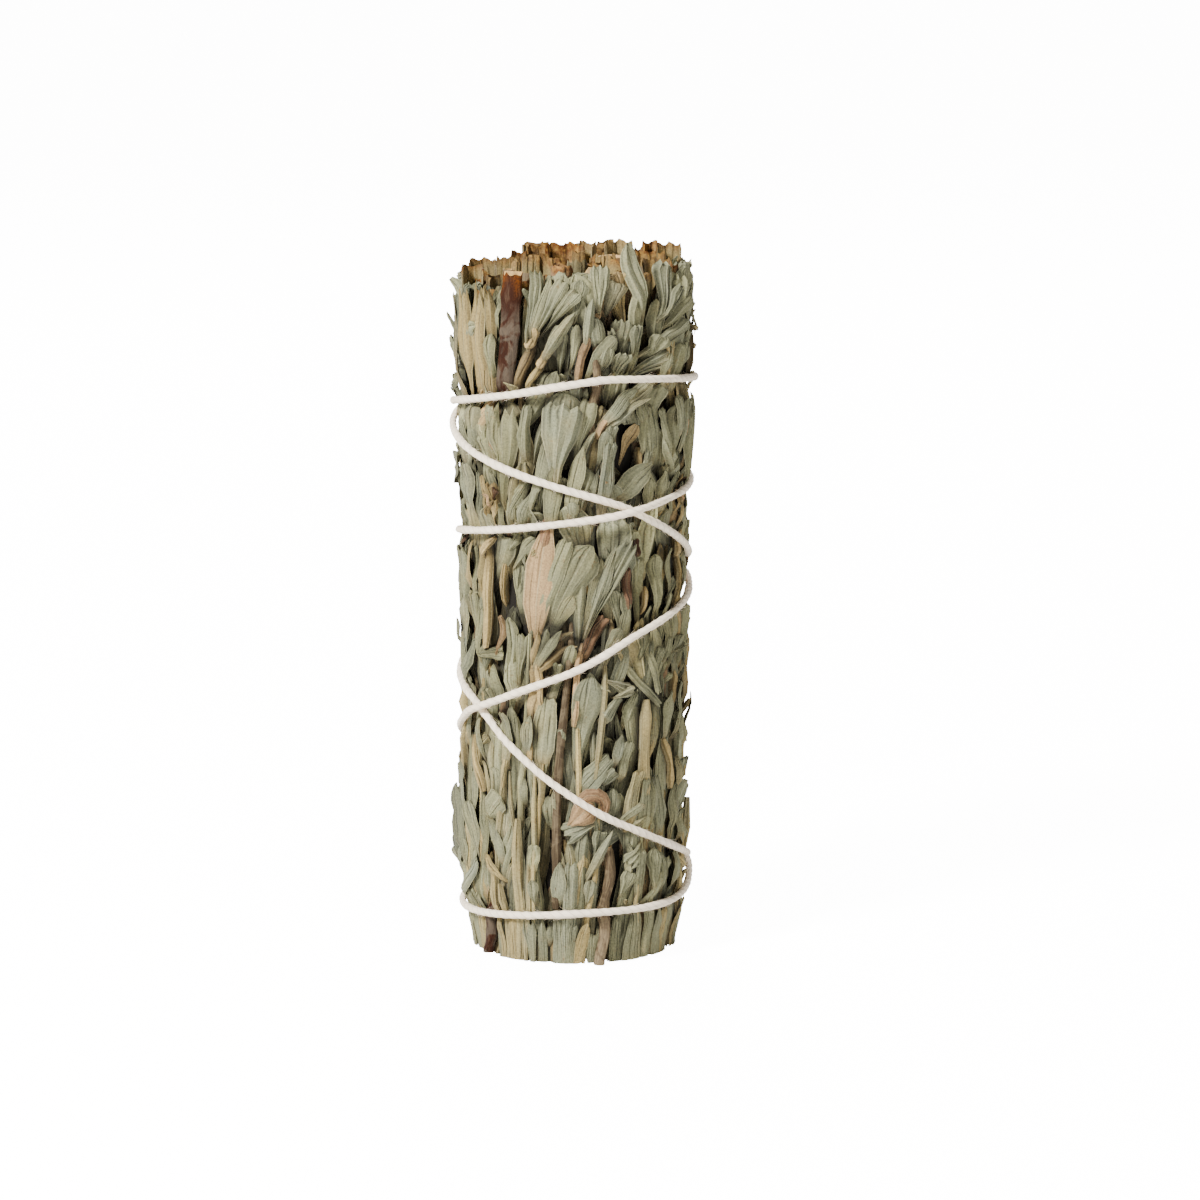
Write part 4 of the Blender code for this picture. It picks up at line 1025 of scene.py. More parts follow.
# Lengthwise crease lines, which lower the relief and are darkened as painted shade.
fold_relief_and_shade = 0.0
for place in CREASES:
    wander = noise(joined(times(along, 1.6), times(tone, 29.0), 9 * place), 1.0, 2.0)
    off = maths("ABSOLUTE", minus(across, plus(place - 0.15, times(wander, 0.30))))
    line = minus(1.0, times(off, CREASE_FINENESS), clamp=True)
    line = times(line, stretched(wander, 0.56, 0.44))
    fold_relief_and_shade = maths("MAXIMUM", fold_relief_and_shade, line)
rim = stretched(from_rib, 0.44, 0.49)
yellowing = plus(times(blotch, 0.55), times(each_leaf, 0.40))
green = mixed(stretched(yellowing, 0.25, 1.0), group_in.outputs["Green"], OLIVE)
withered = ramp(dead, ((0.38, TAN), (0.62, PINK_BROWN), (0.80, RED_BROWN), (1.0, DARK_BROWN)))
withering = plus(dead, times(minus(blotch, 0.5), 0.25))
colour = mixed(stretched(withering, 0.08, 0.34), green, withered)
freckled = times(stretched(speck, 0.60, 0.70), stretched(blotch, 0.48, 0.62))
colour = mixed(times(freckled, 0.55), colour, FRECKLE)
root = minus(1.0, times(along, 4.0), clamp=True)
colour = mixed(times(root, 0.6), colour, LEAF_ROOT)
colour = mixed(times(maths("MAXIMUM", rib, times(rim, 0.8)), 0.42), colour, LEAF_RIB)
burn = times(burnt, plus(0.35, times(blotch, 1.3)), clamp=True)
rim_colour = mixed(stretched(speck, 0.42, 0.62), BURNT_RIM, CRUMBLED_RIM)
colour = mixed(burn, colour, rim_colour)
# Painted shade: a dark band just inside the rim, where a rolled margin turns away.
rolled = times(stretched(from_rib, 0.34, 0.42), stretched(from_rib, 0.48, 0.45))
shade = times(tone, plus(0.76, times(stretched(fibre, 0.30, 0.70), 0.48)))
shade = times(shade, plus(0.74, times(stretched(felt, 0.30, 0.70), 0.52)))
# Painted shade in the crease lines and inside the rolled rim.
shade = times(shade, minus(1.0, times(fold_relief_and_shade, 0.55)))
shade = times(shade, minus(1.0, times(rolled, 0.30)))
colour = darkened(colour, shade)
colour = mixed(times(shaded, 0.85), colour, IN_SHADE)
height = plus(times(fibre, 0.8), times(felt, 0.30))
height = minus(height, times(fold_relief_and_shade, 1.1))
height = plus(height, times(rib, 0.3))
close_group(colour, plus(0.70, times(fibre, 0.25)), height)


def finished(name, group, colours, depth, look):
    """A material whose colour, roughness and relief come from a group with its own colours."""
    global nodes, links
    made = bpy.data.materials.new(name)
    made.use_nodes = True
    nodes, links = made.node_tree.nodes, made.node_tree.links
    finish = nodes.new("ShaderNodeGroup")
    finish.node_tree = group
    set_inputs(finish, {label: (*colour, 1) for label, colour in colours.items()})
    shader = nodes["Principled BSDF"]
    relief = add("ShaderNodeBump", Height=finish.outputs["Height"], Distance=depth, Strength=RELIEF_STRENGTH)
    links.new(finish.outputs["Color"], shader.inputs["Base Color"])
    links.new(finish.outputs["Roughness"], shader.inputs["Roughness"])
    links.new(relief.outputs[0], shader.inputs["Normal"])
    set_inputs(shader, look)
    return made


leaf_finishes = [finished(f"dry_leaf_{number + 1}", dry_leaf, {"Green": green}, LEAF_RELIEF, LEAF_LOOK)
                 for number, green in enumerate(LEAF_GREENS)]

# The outer sprigs
#
# Each sprig is a wedge of pressed inner leaves with the laid leaves over it. The wedge shows only
# at the bottom of gaps, dark brown with painted near-black shade, and its cut ends are hidden by the curled
# leaf ends.

LEAST_HEIGHT, TRIMMED = 0.05 * MM, 0.01
CORE_LEVELS, CORE_OUTER_POINTS, CORE_INNER_POINTS = 32, 12, 6
CORE_LOW, CORE_HIGH = 2.6 * MM, 91 * MM
CORE_INNER_RADIUS, CORE_COVER = 8.7 * MM, 0.03 * MM
# The wedge's tint: dark brown at a very low tone, with nine tenths of the painted shade.
CORE_SHADE_TINT, CORE_ON_SHEET = (0.10, 1.0, 0.0, 0.9), 0.3


def as_faces(faces, sheet):
    """Lists of point numbers as a shape, with its places on the sheet."""
    return {"corners": np.concatenate(faces), "sizes": np.array([len(f) for f in faces]), "sheet": sheet}


def wedge(index):
    """The pressed inner leaves of one sprig, as a plain closed wedge that follows its slice."""
    sides, points, faces = CORE_OUTER_POINTS + CORE_INNER_POINTS, [], []
    for z in np.linspace(CORE_LOW, CORE_HIGH, CORE_LEVELS):
        low, high = slice_edge(index, z), slice_edge(index + 1, z)
        ring = [(low + (high - low) * k / (CORE_OUTER_POINTS - 1), CORE_RADIUS + CORE_COVER)
                for k in range(CORE_OUTER_POINTS)]
        ring += [(high - (high - low) * k / (CORE_INNER_POINTS - 1), CORE_INNER_RADIUS)
                 for k in range(CORE_INNER_POINTS)]
        points += [(r * math.sin(a), -r * math.cos(a), z) for a, r in ring]
    for k in range(0, len(points) - sides, sides):
        for i in range(sides):
            j = (i + 1) % sides
            faces.append([k + i, k + j, k + sides + j, k + sides + i])
    faces += [list(range(sides))[::-1], [len(points) - sides + i for i in range(sides)]]
    shape = as_faces(faces, np.full((sum(map(len, faces)), 2), CORE_ON_SHEET))
    return np.array(points), shape, np.repeat([CORE_SHADE_TINT], len(points), 0)


for index in SLICES:
    copies = [wedge(index)]
    for shape, a, r, z, tints, belongs in laid:
        if belongs == index:
            tints[:, 3] = in_shade(a, r, z)
            cut_z = np.where(z < LEAST_HEIGHT, LEAST_HEIGHT + TRIMMED * (LEAST_HEIGHT - z), z)
            copies.append((standing(a, pressed(a, r, cut_z), cut_z), shape, tints))
    piece = join(f"sprig_{index + 1:02d}_leaves", copies, leaf_finishes[index % 3])
    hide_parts(f"outer_sprig_{index + 1:02d}_leaves")

# The cut leaf ends
#
# Where the bundle is cut through, the dried leaves inside show as curled, rolled and pleated
# walls, with ragged orange-brown rims at the top. The lower cut is trimmed flat.

CURL_WALL, CURL_COLUMNS, CURL_ROWS = 0.13, 20, 5
BIG_CURLS, TOP_CURLS, FOOT_CURLS = 22, 120, 200
BIG_CURL_RING, TOP_CURL_RING, FOOT_CURL_RING = (8.8, 13.4, 4.0), (0.5, 14.8, 1.9), (0.5, 13.2, 1.25)
CUT_LOW_LEFT, CUT_HIGH, CURL_LOW = 96.8 * MM, 99.4 * MM, 86 * MM
SUNK_CURLS, SMALLEST_CURL = (0.6, 2.6), 0.5 * MM
CURL_LIMIT, CURL_LIMIT_LOW_LEFT, LOW_LEFT_TOP = 15.3 * MM, 16.6 * MM, 97 * MM
FOOT_CURL_TOP, FOOT_CURL_HEIGHTS, FOOT_CURL_SIZES = 5.0 * MM, (4.6, 4.95), (0.8, 1.4)
MIDDLE_REACH = 8.6 * MM
SLICE_READ_AT, FOOT_SLICE_READ_AT = 95 * MM, 3 * MM
FOOT_BURN, BURN_ENDS = 0.25, 0.98


def curl_shape(turns, opening, squeeze, ragged, pleats=3, pleat=0.10):
    """A dried leaf rolled lengthwise: a grid is bent round, made ragged at the rim and thickened."""
    bpy.ops.object.select_all(action="DESELECT")
    bpy.ops.mesh.primitive_grid_add(x_subdivisions=CURL_COLUMNS, y_subdivisions=CURL_ROWS, size=2)
    blade = bpy.context.active_object
    for vert in blade.data.vertices:
        u, v = (vert.co.x + 1) / 2, (vert.co.y + 1) / 2
        around = turns * 2 * math.pi * (u - 0.5) + 0.3 * v
        pleated = 1 + pleat * math.sin(pleats * around + 2 * v + 5 * opening)
        r = (1 - opening * u) * pleated * (0.84 + 0.18 * v)
        bite = abs(math.sin(9 * u + 7 * turns)) + 0.6 * abs(math.sin(23 * u + 3 * turns))
        vert.co = (r * math.cos(around), squeeze * r * math.sin(around), v**0.45 - ragged * bite * v**8)
    thick = blade.modifiers.new("wall", "SOLIDIFY")
    thick.thickness, thick.offset = CURL_WALL, 0
    bpy.ops.object.modifier_apply(modifier=thick.name)
    shape = as_shape(blade)
    shape["rise"] = shape["place"][:, 1]
    shape["sheet"] = shape["sheet"] * (1, 0.6) + (0, 0.35)
    return shape


open_curl = curl_shape(0.66, 0.0, 1.0, 0.016)
rolled_curl = curl_shape(1.25, 0.5, 0.8, 0.014)
flat_curl = curl_shape(0.80, 0.15, 0.45, 0.018, 5, 0.14)
half_curl = curl_shape(0.46, 0.0, 1.1, 0.018, 6, 0.06)
pleated_wall = curl_shape(0.34, 0.0, 1.5, 0.018, 11, 0.08)
ragged_curls = (open_curl, rolled_curl, flat_curl, half_curl, pleated_wall, pleated_wall)
flat_curls = (curl_shape(0.7, 0.1, 0.7, 0.0), curl_shape(1.3, 0.5, 0.6, 0.0))

# The curls that the picture shows: picture x and y of the rim, how far behind the axis it stands
# and half its width in millimetres, shape, the way its closed side faces, tone, dead, burn and
# where along the curl the burn starts
CURLS_IN_SIGHT = (
    (461, 266, -3, 1.5, open_curl, 70, 0.9, 0.34, 1, 0.75),
    (482, 259, 3, 1.8, half_curl, 95, 0.75, 0.3, 0.9, 0.75),
    (506, 258, -1, 1.3, pleated_wall, -90, 0.8, 0.36, 0.6, 0.8),
    (520, 262, -5, 0.9, rolled_curl, -60, 1.1, 0.4, 0.6, 0.8),
    (541, 246, 7, 1.8, half_curl, 90, 0.8, 0.48, 1, 0.55),
    (524, 252, 4, 1.1, open_curl, 55, 0.8, 0.45, 1, 0.6),
    (567, 244, 6, 2.4, half_curl, 82, 1.1, 0.46, 1, 0.1),
    (594, 243, 6, 1.2, open_curl, 40, 1.1, 0.42, 0.5, 0.85),
    (617, 241, 8, 1.9, half_curl, 100, 1.1, 0.4, 0.4, 0.85),
    (651, 242, 3, 1.2, open_curl, 90, 0.95, 0.5, 1, 0.45),
    (667, 244, 2, 1.7, half_curl, 100, 0.85, 0.36, 0.9, 0.75),
    (532, 256, -8, 1.2, pleated_wall, -85, 0.85, 0.33, 0.7, 0.8),
    (552, 259, -9, 1.2, pleated_wall, -95, 0.95, 0.33, 0.7, 0.8),
    (604, 256, -9, 1.1, pleated_wall, -90, 1.2, 0.4, 0.4, 0.85),
    (578, 262, -10, 1.3, half_curl, -80, 0.8, 0.16, 0.2, 0.9),
    (634, 256, -6, 1.3, flat_curl, -90, 0.7, 0.25, 0.4, 0.8),
    (586, 252, 0, 1, rolled_curl, 20, 0.8, 0.42, 0.5, 0.8),
)
RIM_REACH = 15.0 * MM
CURL_TONE = 0.75


def at_depth(x, y, back):
    """The point this far behind the bundle's axis that the camera sees at a place in the picture."""
    ray = picture_ray(x, y)
    return camera.location + ray * ((back - camera.location.y) / ray.y)


def stand_curls(count, ring, draw, taken=()):
    """Random places in a ring of (inner radius, outer radius, distance apart), off the taken ones."""
    r_low, r_high, apart = (size * MM for size in ring)
    places = []
    for _ in range(count * 12):
        r = math.sqrt(draw.uniform(r_low**2, r_high**2))
        a = draw.uniform(0, TURN)
        x, y = r * math.sin(a), -r * math.cos(a)
        free = all(math.hypot(x - p[0], y - p[1]) > 0.8 * p[2] + apart / 2 for p in taken)
        if free and len(places) < count and all(math.hypot(x - p[0], y - p[1]) > apart for p in places):
            places.append((x, y, a, r))
    return places


def curl_copy(shape, x, y, low, height, size, turned, tint, burn, burnt_from, upside_down=False):
    """One curl, standing at a place, with a burnt rim and painted shade towards its deep end."""
    points = shape["points"] * (size, size, height)
    if upside_down:
        points = points * (1, -1, -1)
    cos, sin = math.cos(turned), math.sin(turned)
    px, py, pz = points.T
    points = np.stack((x + (px * cos - py * sin), y + (px * sin + py * cos), low + pz), 1)
    tints = np.repeat([[CURL_TONE * tint[0], tint[1], 0.0, 0.0]], len(points), 0)
    tints[:, 2] = burn * np.clip((shape["rise"] - burnt_from) / (BURN_ENDS - burnt_from), 0, 1)
    # Painted shade: the curl darkens towards its deep end, down in the cut.
    tints[:, 3] = 0.8 * np.clip(1 - shape["rise"] * 1.6, 0, 1)
    return points, shape, tints


def random_curl(x, y, size, top, draw):
    """One of the curls that fill the cut between the others."""
    tint = (draw.uniform(0.55, 1.05), draw.choice((0.16, 0.24, 0.30, 0.34, 0.38, 0.42, 0.6)))
    return curl_copy(draw.choice(ragged_curls), x, y, CURL_LOW, top - CURL_LOW, size, draw.uniform(0, 6.28),
                     tint, draw.uniform(0.6, 1.0), draw.choice((0.55, 0.65, 0.75, 0.8)))


def cut_height(x):
    """The height of the upper cut, which is lower at the left."""
    return CUT_HIGH + (CUT_LOW_LEFT - CUT_HIGH) * np.clip((LOW_LEFT_OF - x) / MM + 0.5, 0, 1)


draw = random.Random(41)
curls = [[] for _ in SLICE_EDGES_DEG]
taken = []
for x, y, back, size, shape, facing, tone, dead, burn, burnt_from in CURLS_IN_SIGHT:
    rim, turned = at_depth(x, y, back * MM), math.radians(facing)
    place = rim - Vector((math.cos(turned), math.sin(turned), 0)) * size * MM
    place *= min(1, (RIM_REACH - 0.3 * size * MM) / math.hypot(place.x, place.y))
    copy = curl_copy(shape, place.x, place.y, CURL_LOW, rim.z - CURL_LOW, size * MM, turned, (tone, dead),
                     burn, burnt_from)
    curls[slice_at(math.atan2(place.x, -place.y), SLICE_READ_AT)].append(copy)
    taken.append((place.x, place.y, size * MM))
for x, y, a, r in stand_curls(BIG_CURLS, BIG_CURL_RING, draw, taken):
    size = draw.uniform(1.6, 2.2) * MM
    top = cut_height(x) + draw.uniform(-0.6, 0.3) * MM
    curls[slice_at(a, SLICE_READ_AT)].append(random_curl(x, y, size, top, draw))
    taken.append((x, y, size))
top_places = stand_curls(TOP_CURLS, TOP_CURL_RING, draw, taken)
for x, y, a, r in top_places:
    limit = CURL_LIMIT_LOW_LEFT if top_limit(a) < LOW_LEFT_TOP else CURL_LIMIT
    size = min(draw.uniform(1.0, 1.6) * MM, limit - r)
    if size > SMALLEST_CURL and r > MIDDLE_REACH:
        top = cut_height(x) - draw.uniform(*SUNK_CURLS) * MM
        curls[slice_at(a, SLICE_READ_AT)].append(random_curl(x, y, size, top, draw))
foot_places = stand_curls(FOOT_CURLS, FOOT_CURL_RING, draw)
for x, y, a, r in foot_places:
    copy = curl_copy(draw.choice(flat_curls), x, y, FOOT_CURL_TOP, draw.uniform(*FOOT_CURL_HEIGHTS) * MM,
                     draw.uniform(*FOOT_CURL_SIZES) * MM, draw.uniform(0, 6.28),
                     (draw.uniform(0.7, 1.1), draw.choice((0.1, 0.3, 0.45))), FOOT_BURN, 0.7, True)
    if r > MIDDLE_REACH:
        curls[slice_at(a, FOOT_SLICE_READ_AT)].append(copy)
for index, copies in enumerate(curls):
    piece = join(f"sprig_{index + 1:02d}_cut_ends", copies, leaf_finishes[index % 3])

# Bark and cut wood
#
# Sage stems are woody: red-brown to grey bark, split and ribbed along its length, over tan wood
# with fine rings and a soft brown pith, which show only where a stem is cut.

SPLINTERED = (0.125, 0.034, 0.002)
CUT_WOOD, CUT_RING, PITH = (0.50, 0.32, 0.12), (0.33, 0.18, 0.06), (0.13, 0.06, 0.02)
RINGS = 46.0
FLAKED_BELOW = (94.5 * MM, 91.0 * MM)
BARK_RELIEF = 0.16 * MM
RED_BARK = {"Bark": (0.026, 0.007, 0.002), "Flaked": (0.064, 0.047, 0.032), "Rib": (0.074, 0.050, 0.030)}
TAN_BARK = {"Bark": (0.150, 0.110, 0.062), "Flaked": (0.080, 0.055, 0.030), "Rib": (0.200, 0.155, 0.085)}
STEM_BARK = {"Bark": (0.260, 0.145, 0.060), "Flaked": (0.170, 0.090, 0.040), "Rib": (0.160, 0.100, 0.055)}
BARK_LOOK, CUT_STEM_LOOK = {"Specular IOR Level": 0.12}, {"Specular IOR Level": 0.3}

bark = open_group("bark", "Bark", "Flaked", "Rib")
tone, _, burnt, _ = tint_parts()
around, along, where = sheet_parts()
grain = noise(joined(times(around, 9.0), times(along, 4.0), times(tone, 19.0)), 2.2, 5.0, 0.6)
flakes = noise(where, 420.0, 4.0, 0.8)
dust = noise(where, 3600.0, 2.0)
height = add("ShaderNodeSeparateXYZ", Vector=where).outputs["Z"]
flaked = times(stretched(flakes, 0.45, 0.55), stretched(height, *FLAKED_BELOW))
colour = mixed(flaked, group_in.outputs["Bark"], group_in.outputs["Flaked"])
colour = mixed(times(stretched(grain, 0.50, 0.75), 0.6), colour, group_in.outputs["Rib"])
colour = darkened(colour, times(tone, plus(0.45, times(grain, 1.1))))
colour = darkened(colour, plus(0.78, times(dust, 0.44)))
colour = mixed(times(burnt, stretched(dust, 0.25, 0.6)), colour, SPLINTERED)
is_cut = stretched(along, 1.02, 1.06)
from_middle = minus(2.0, along)
rings = plus(0.5, times(maths("SINE", times(from_middle, RINGS)), 0.5))
wood = mixed(times(rings, 0.55), CUT_WOOD, CUT_RING)
wood = mixed(stretched(plus(from_middle, times(dust, 0.2)), 0.50, 0.36), wood, PITH)
wood = darkened(wood, plus(0.7, times(dust, 0.6)))
colour = mixed(is_cut, colour, wood)
close_group(colour, plus(0.55, times(flakes, 0.35)), plus(grain, times(dust, 0.3)))
red_bark = finished("red_bark", bark, RED_BARK, BARK_RELIEF, BARK_LOOK)
tan_bark = finished("tan_bark", bark, TAN_BARK, BARK_RELIEF, BARK_LOOK)
cut_stem = finished("cut_stem", bark, STEM_BARK, BARK_RELIEF, CUT_STEM_LOOK)

# Bare twigs and stems
#
# Woody stems: one in each sprig, three thick ones in the middle, and six bare twigs outside.
# Each is a tapering ribbed rod that follows its solid from end to end, cut at the top, where the bare twigs
# are splintered.

TWIG_RAISED = 0.30 * MM
TWIG_DIP, TWIG_DIP_LENGTH = 1.5 * MM, 3 * MM
TWIG_LEFTWARD = 1.45 * MM
SPLINTERED_FROM, SPLINTERED_OVER = 95.8 * MM, 2.8 * MM
TWIG_TOP = 98.9 * MM
STEM_CREASE = math.radians(50)
THICK_STEMS = (0, 2, 5)
TWIG_THINNESS = {"twig_long_front": (0.85, 0.6), "twig_upper_front": (1.0, 0.55)}
TWIG_TONE = {"twig_upper_left": 1.0, "twig_long_front": 0.72}
RED_TWIGS, BROKEN_TWIG = ("twig_upper_left", "twig_lower_left"), "twig_upper_left"


def spine(node):
    """Middle and half widths (across and through) of a solid stem at each of its levels."""
    points = np.array([v.co for v in bpy.data.objects[node].data.vertices])
    levels = np.unique(np.round(points[:, 2] / MM, 1))
    spans = []
    for level in levels:
        ring = points[np.abs(points[:, 2] / MM - level) < 0.11]
        centre = (ring.min(0) + ring.max(0)) / 2
        angle = math.atan2(centre[0], -centre[1])
        across = (ring - centre) @ (math.cos(angle), math.sin(angle), 0)
        through = (ring - centre) @ (math.sin(angle), -math.cos(angle), 0)
        spans.append((level * MM, centre[0], centre[1], np.ptp(across) / 2, np.ptp(through) / 2))
    spans = np.array(spans)
    return spans[spans[:, 3] > 0.6 * spans[:, 3].max()]


def stem_piece(node, name, finish, tone, draw, raised=0.0, splinter=0.0, bare=(0, 100), thin=(1, 1),
               top=0.0):
    """A finer stem in place of a solid one: long_rod bent along its spine, thinned towards its top."""
    spans = spine(node)
    low, high = spans[0, 0], max(spans[-1, 0], top)
    rod_x, along, rod_h = long_rod["x"], long_rod["y"], long_rod["h"]
    z = low + (high - low) * along
    cx, cy, wide, deep = (np.interp(z, spans[:, 0], spans[:, k]) for k in (1, 2, 3, 4))
    angle = np.arctan2(cx, -cy)
    wide, deep = wide * np.interp(along, (0, 1), thin), deep * np.interp(along, (0, 1), thin)
    knots = sum(0.16 * np.exp(-(((along - draw.random()) / 0.03) ** 2)) for _ in range(4))
    sway = 0.25 * MM * np.sin(along * draw.uniform(9, 14) + draw.uniform(0, 6))
    x = rod_x * wide * (1 + knots) + (sway if raised else 0) - (TWIG_LEFTWARD if top else 0)
    covered = np.clip(np.maximum(bare[0] * MM - z, z - bare[1] * MM) / TWIG_DIP_LENGTH, 0, 1)
    h = rod_h * (deep + raised * 0.5) * (1 + knots) + raised - TWIG_DIP * covered
    around = np.arctan2(rod_h, rod_x)
    ragged = np.abs(np.sin(4 * around + 1)) + 0.5 * np.abs(np.sin(11 * around))
    z = z - splinter * ragged * (along > 0.999) * (np.hypot(rod_x, rod_h) > 0.7)
    cos, sin = np.cos(angle), np.sin(angle)
    points = np.stack((cx + x * cos + h * sin, cy + x * sin - h * cos, z), 1)
    tints = np.repeat([[tone, 0.0, 0.0, 0.0]], len(points), 0)
    if splinter:
        tints[:, 2] = np.clip((z - SPLINTERED_FROM) / SPLINTERED_OVER + 0.5 * np.sin(3 * around), 0, 1)
    piece = join(name, [(points, long_rod, tints)], finish, STEM_CREASE)
    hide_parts(node)


draw = random.Random(77)
for index in SLICES:
    node = f"outer_sprig_{index + 1:02d}_stem"
    stem_piece(node, f"sprig_{index + 1:02d}_stem", tan_bark, draw.uniform(0.7, 1.0), draw)
for number in THICK_STEMS:
    stem_piece(f"woody_stem_{number}", f"thick_stem_{number}", cut_stem,
               draw.uniform(0.8, 1.0), draw)
for name, (_, low, high, _) in BARE_TWIGS.items():
    broken_off = name == BROKEN_TWIG
    stem_piece(name, f"bare_{name}", red_bark if name in RED_TWIGS else tan_bark,
               TWIG_TONE.get(name, 1.1), draw, TWIG_RAISED, 0.8 * MM if broken_off else 0.1 * MM,
               (low, high), TWIG_THINNESS.get(name, (1, 1)), TWIG_TOP if broken_off else 0.0)

# The inner sprigs
#
# Between the thick stems four more leafy sprigs stand in the middle. Only their curled ends show,
# at both cuts, round a rolled body painted dark brown with near-black shade.

INNER_NUMBERS = (1, 3, 4, 6)
INNER_BODY, INNER_LOW, INNER_LENGTH = 2.2 * MM, 3 * MM, 88 * MM
draw = random.Random(91)
inner_middles, inner_copies = {}, {}
for number in INNER_NUMBERS:
    low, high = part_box(f"inner_sprig_{number}")
    inner_middles[number] = cx, cy = (low[0] + high[0]) / 2, (low[1] + high[1]) / 2
    rise = INNER_LOW + INNER_LENGTH * long_rod["y"]
    body = np.stack((cx + long_rod["x"] * INNER_BODY, cy + long_rod["h"] * INNER_BODY, rise), 1)
    # The rolled body takes the wedge's dark tint with painted shade.
    inner_copies[number] = [(body, long_rod, np.repeat([CORE_SHADE_TINT], len(body), 0))]


def nearest_inner(x, y):
    """The copies of the inner sprig that stands nearest to a place."""
    number = min(INNER_NUMBERS, key=lambda n: math.hypot(x - inner_middles[n][0], y - inner_middles[n][1]))
    return inner_copies[number]


for x, y, a, r in top_places:
    if r <= MIDDLE_REACH:
        top = cut_height(x) - draw.uniform(*SUNK_CURLS) * MM
        nearest_inner(x, y).append(random_curl(x, y, draw.uniform(1.0, 2.2) * MM, top, draw))
for x, y, a, r in foot_places:
    if r <= MIDDLE_REACH:
        tint = (draw.uniform(0.7, 1.15), draw.choice((0.12, 0.2, 0.42, 0.5)))
        nearest_inner(x, y).append(curl_copy(
            draw.choice(flat_curls), x, y, FOOT_CURL_TOP, draw.uniform(*FOOT_CURL_HEIGHTS) * MM,
            draw.uniform(*FOOT_CURL_SIZES) * MM, draw.uniform(0, 6.28), tint, FOOT_BURN, 0.7, True))
for number, copies in inner_copies.items():
    piece = join(f"middle_sprig_{number}", copies, leaf_finishes[number % 3])
    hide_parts(f"inner_sprig_{number}")

# The cotton string
#
# Three soft white plies twisted together, with loose fibres that stand off it. It is pulled into
# the leaves, crosses over itself in front and is knotted at the back with two short ends.

STRING_TWIST, STRING_RING_STEP, STRING_SIDES = 4.2 * MM, 0.32 * MM, 18
STRING_END, STRING_CREASE = 0.6 * MM, math.radians(70)
FIBRES, FIBRE_RADIUS, FIBRE_STEP, FIBRE_ON_SHEET = 2400, 0.012 * MM, 0.4 * MM, 0.17
KNOT_AT, KNOT_SIZE, KNOT_OUT, KNOT_POINTS = (math.radians(190), 73.6 * MM), 0.42 * MM, 0.35 * MM, 90
COTTON_TINT = (1.0, 0.0, 0.0, 0.0)
STRING_WHITE, STRING_RELIEF = (1.0, 0.86, 0.65), 0.07 * MM
COTTON_LOOK = {"Specular IOR Level": 0.15, "Sheen Weight": 0.7, "Sheen Tint": (1.0, 0.88, 0.72, 1),
               "Sheen Roughness": 0.5}

half_turn = round(180 / STRING_STEP_DEG)
hump = np.zeros(len(string_angles))
for i in range(half_turn, len(string_angles)):
    near = from_string(string_angles[i], string_heights[i], i - half_turn)
    hump[i] = math.exp(-((float(near) / STRING_OVER_REACH) ** 2))
string_radii = surface_radius(string_heights) - STRING_SUNK + STRING_OVER * hump


def smooth_path(points, step):
    """The same path with points at even steps along it."""
    far = np.concatenate(([0], np.cumsum(np.linalg.norm(np.diff(points, axis=0), axis=1))))
    places = np.linspace(0, far[-1], max(8, round(far[-1] / step)))
    return np.stack([np.interp(places, far, points[:, k]) for k in range(3)], 1), places


def frame_along(points, outward, step):
    """A path at even steps, the places along it, and its directions ahead, outward and across."""
    path, places = smooth_path(points, step)
    starts = np.linspace(0, places[-1], len(outward))
    away = np.stack([np.interp(places, starts, outward[:, k]) for k in range(3)], 1)
    ahead = np.gradient(path, axis=0)
    ahead /= np.linalg.norm(ahead, axis=1)[:, None]
    side = np.cross(ahead, away)
    side /= np.linalg.norm(side, axis=1)[:, None]
    return path, places, ahead, np.cross(side, ahead), side


def twisted(points, outward, seed):
    """A three-ply string swept along a path, as (points, shape, tints)."""
    path, places, ahead, over, side = frame_along(points, outward, STRING_RING_STEP)
    rng = np.random.default_rng(seed)
    bumps = np.convolve(rng.normal(size=len(path) + 8), np.ones(9) / 9, "valid")
    spin = places / STRING_TWIST * 2 * math.pi
    around = np.arange(STRING_SIDES) / STRING_SIDES * 2 * math.pi
    ply = np.abs(np.cos(1.5 * (around[None, :] - spin[:, None])))
    radius = STRING_RADIUS * (0.85 + 0.16 * ply**0.8 + 0.14 * bumps[:, None])
    radius *= np.minimum(1, 0.25 + np.minimum(places, places[-1] - places) / STRING_END)[:, None]
    cos, sin = np.cos(around)[None, :, None], np.sin(around)[None, :, None]
    rings = path[:, None, :] + radius[..., None] * (cos * over[:, None, :] + sin * side[:, None, :])
    count, faces, sheet = len(path), [], []
    for k in range(count - 1):
        low, high = k * STRING_SIDES, (k + 1) * STRING_SIDES
        for i in range(STRING_SIDES):
            j = (i + 1) % STRING_SIDES
            faces.append([low + i, high + i, high + j, low + j])
            for m, n in ((k, i), (k + 1, i), (k + 1, i + 1), (k, i + 1)):
                sheet.append((n / STRING_SIDES - places[m] / STRING_TWIST, places[m] / STRING_TWIST))
    faces += [list(range(STRING_SIDES)), [(count - 1) * STRING_SIDES + i for i in range(STRING_SIDES)][::-1]]
    sheet += [(0.2, 0.0)] * (2 * STRING_SIDES)
    tints = np.repeat([COTTON_TINT], count * STRING_SIDES, 0)
    return rings.reshape(-1, 3), as_faces(faces, np.array(sheet)), tints


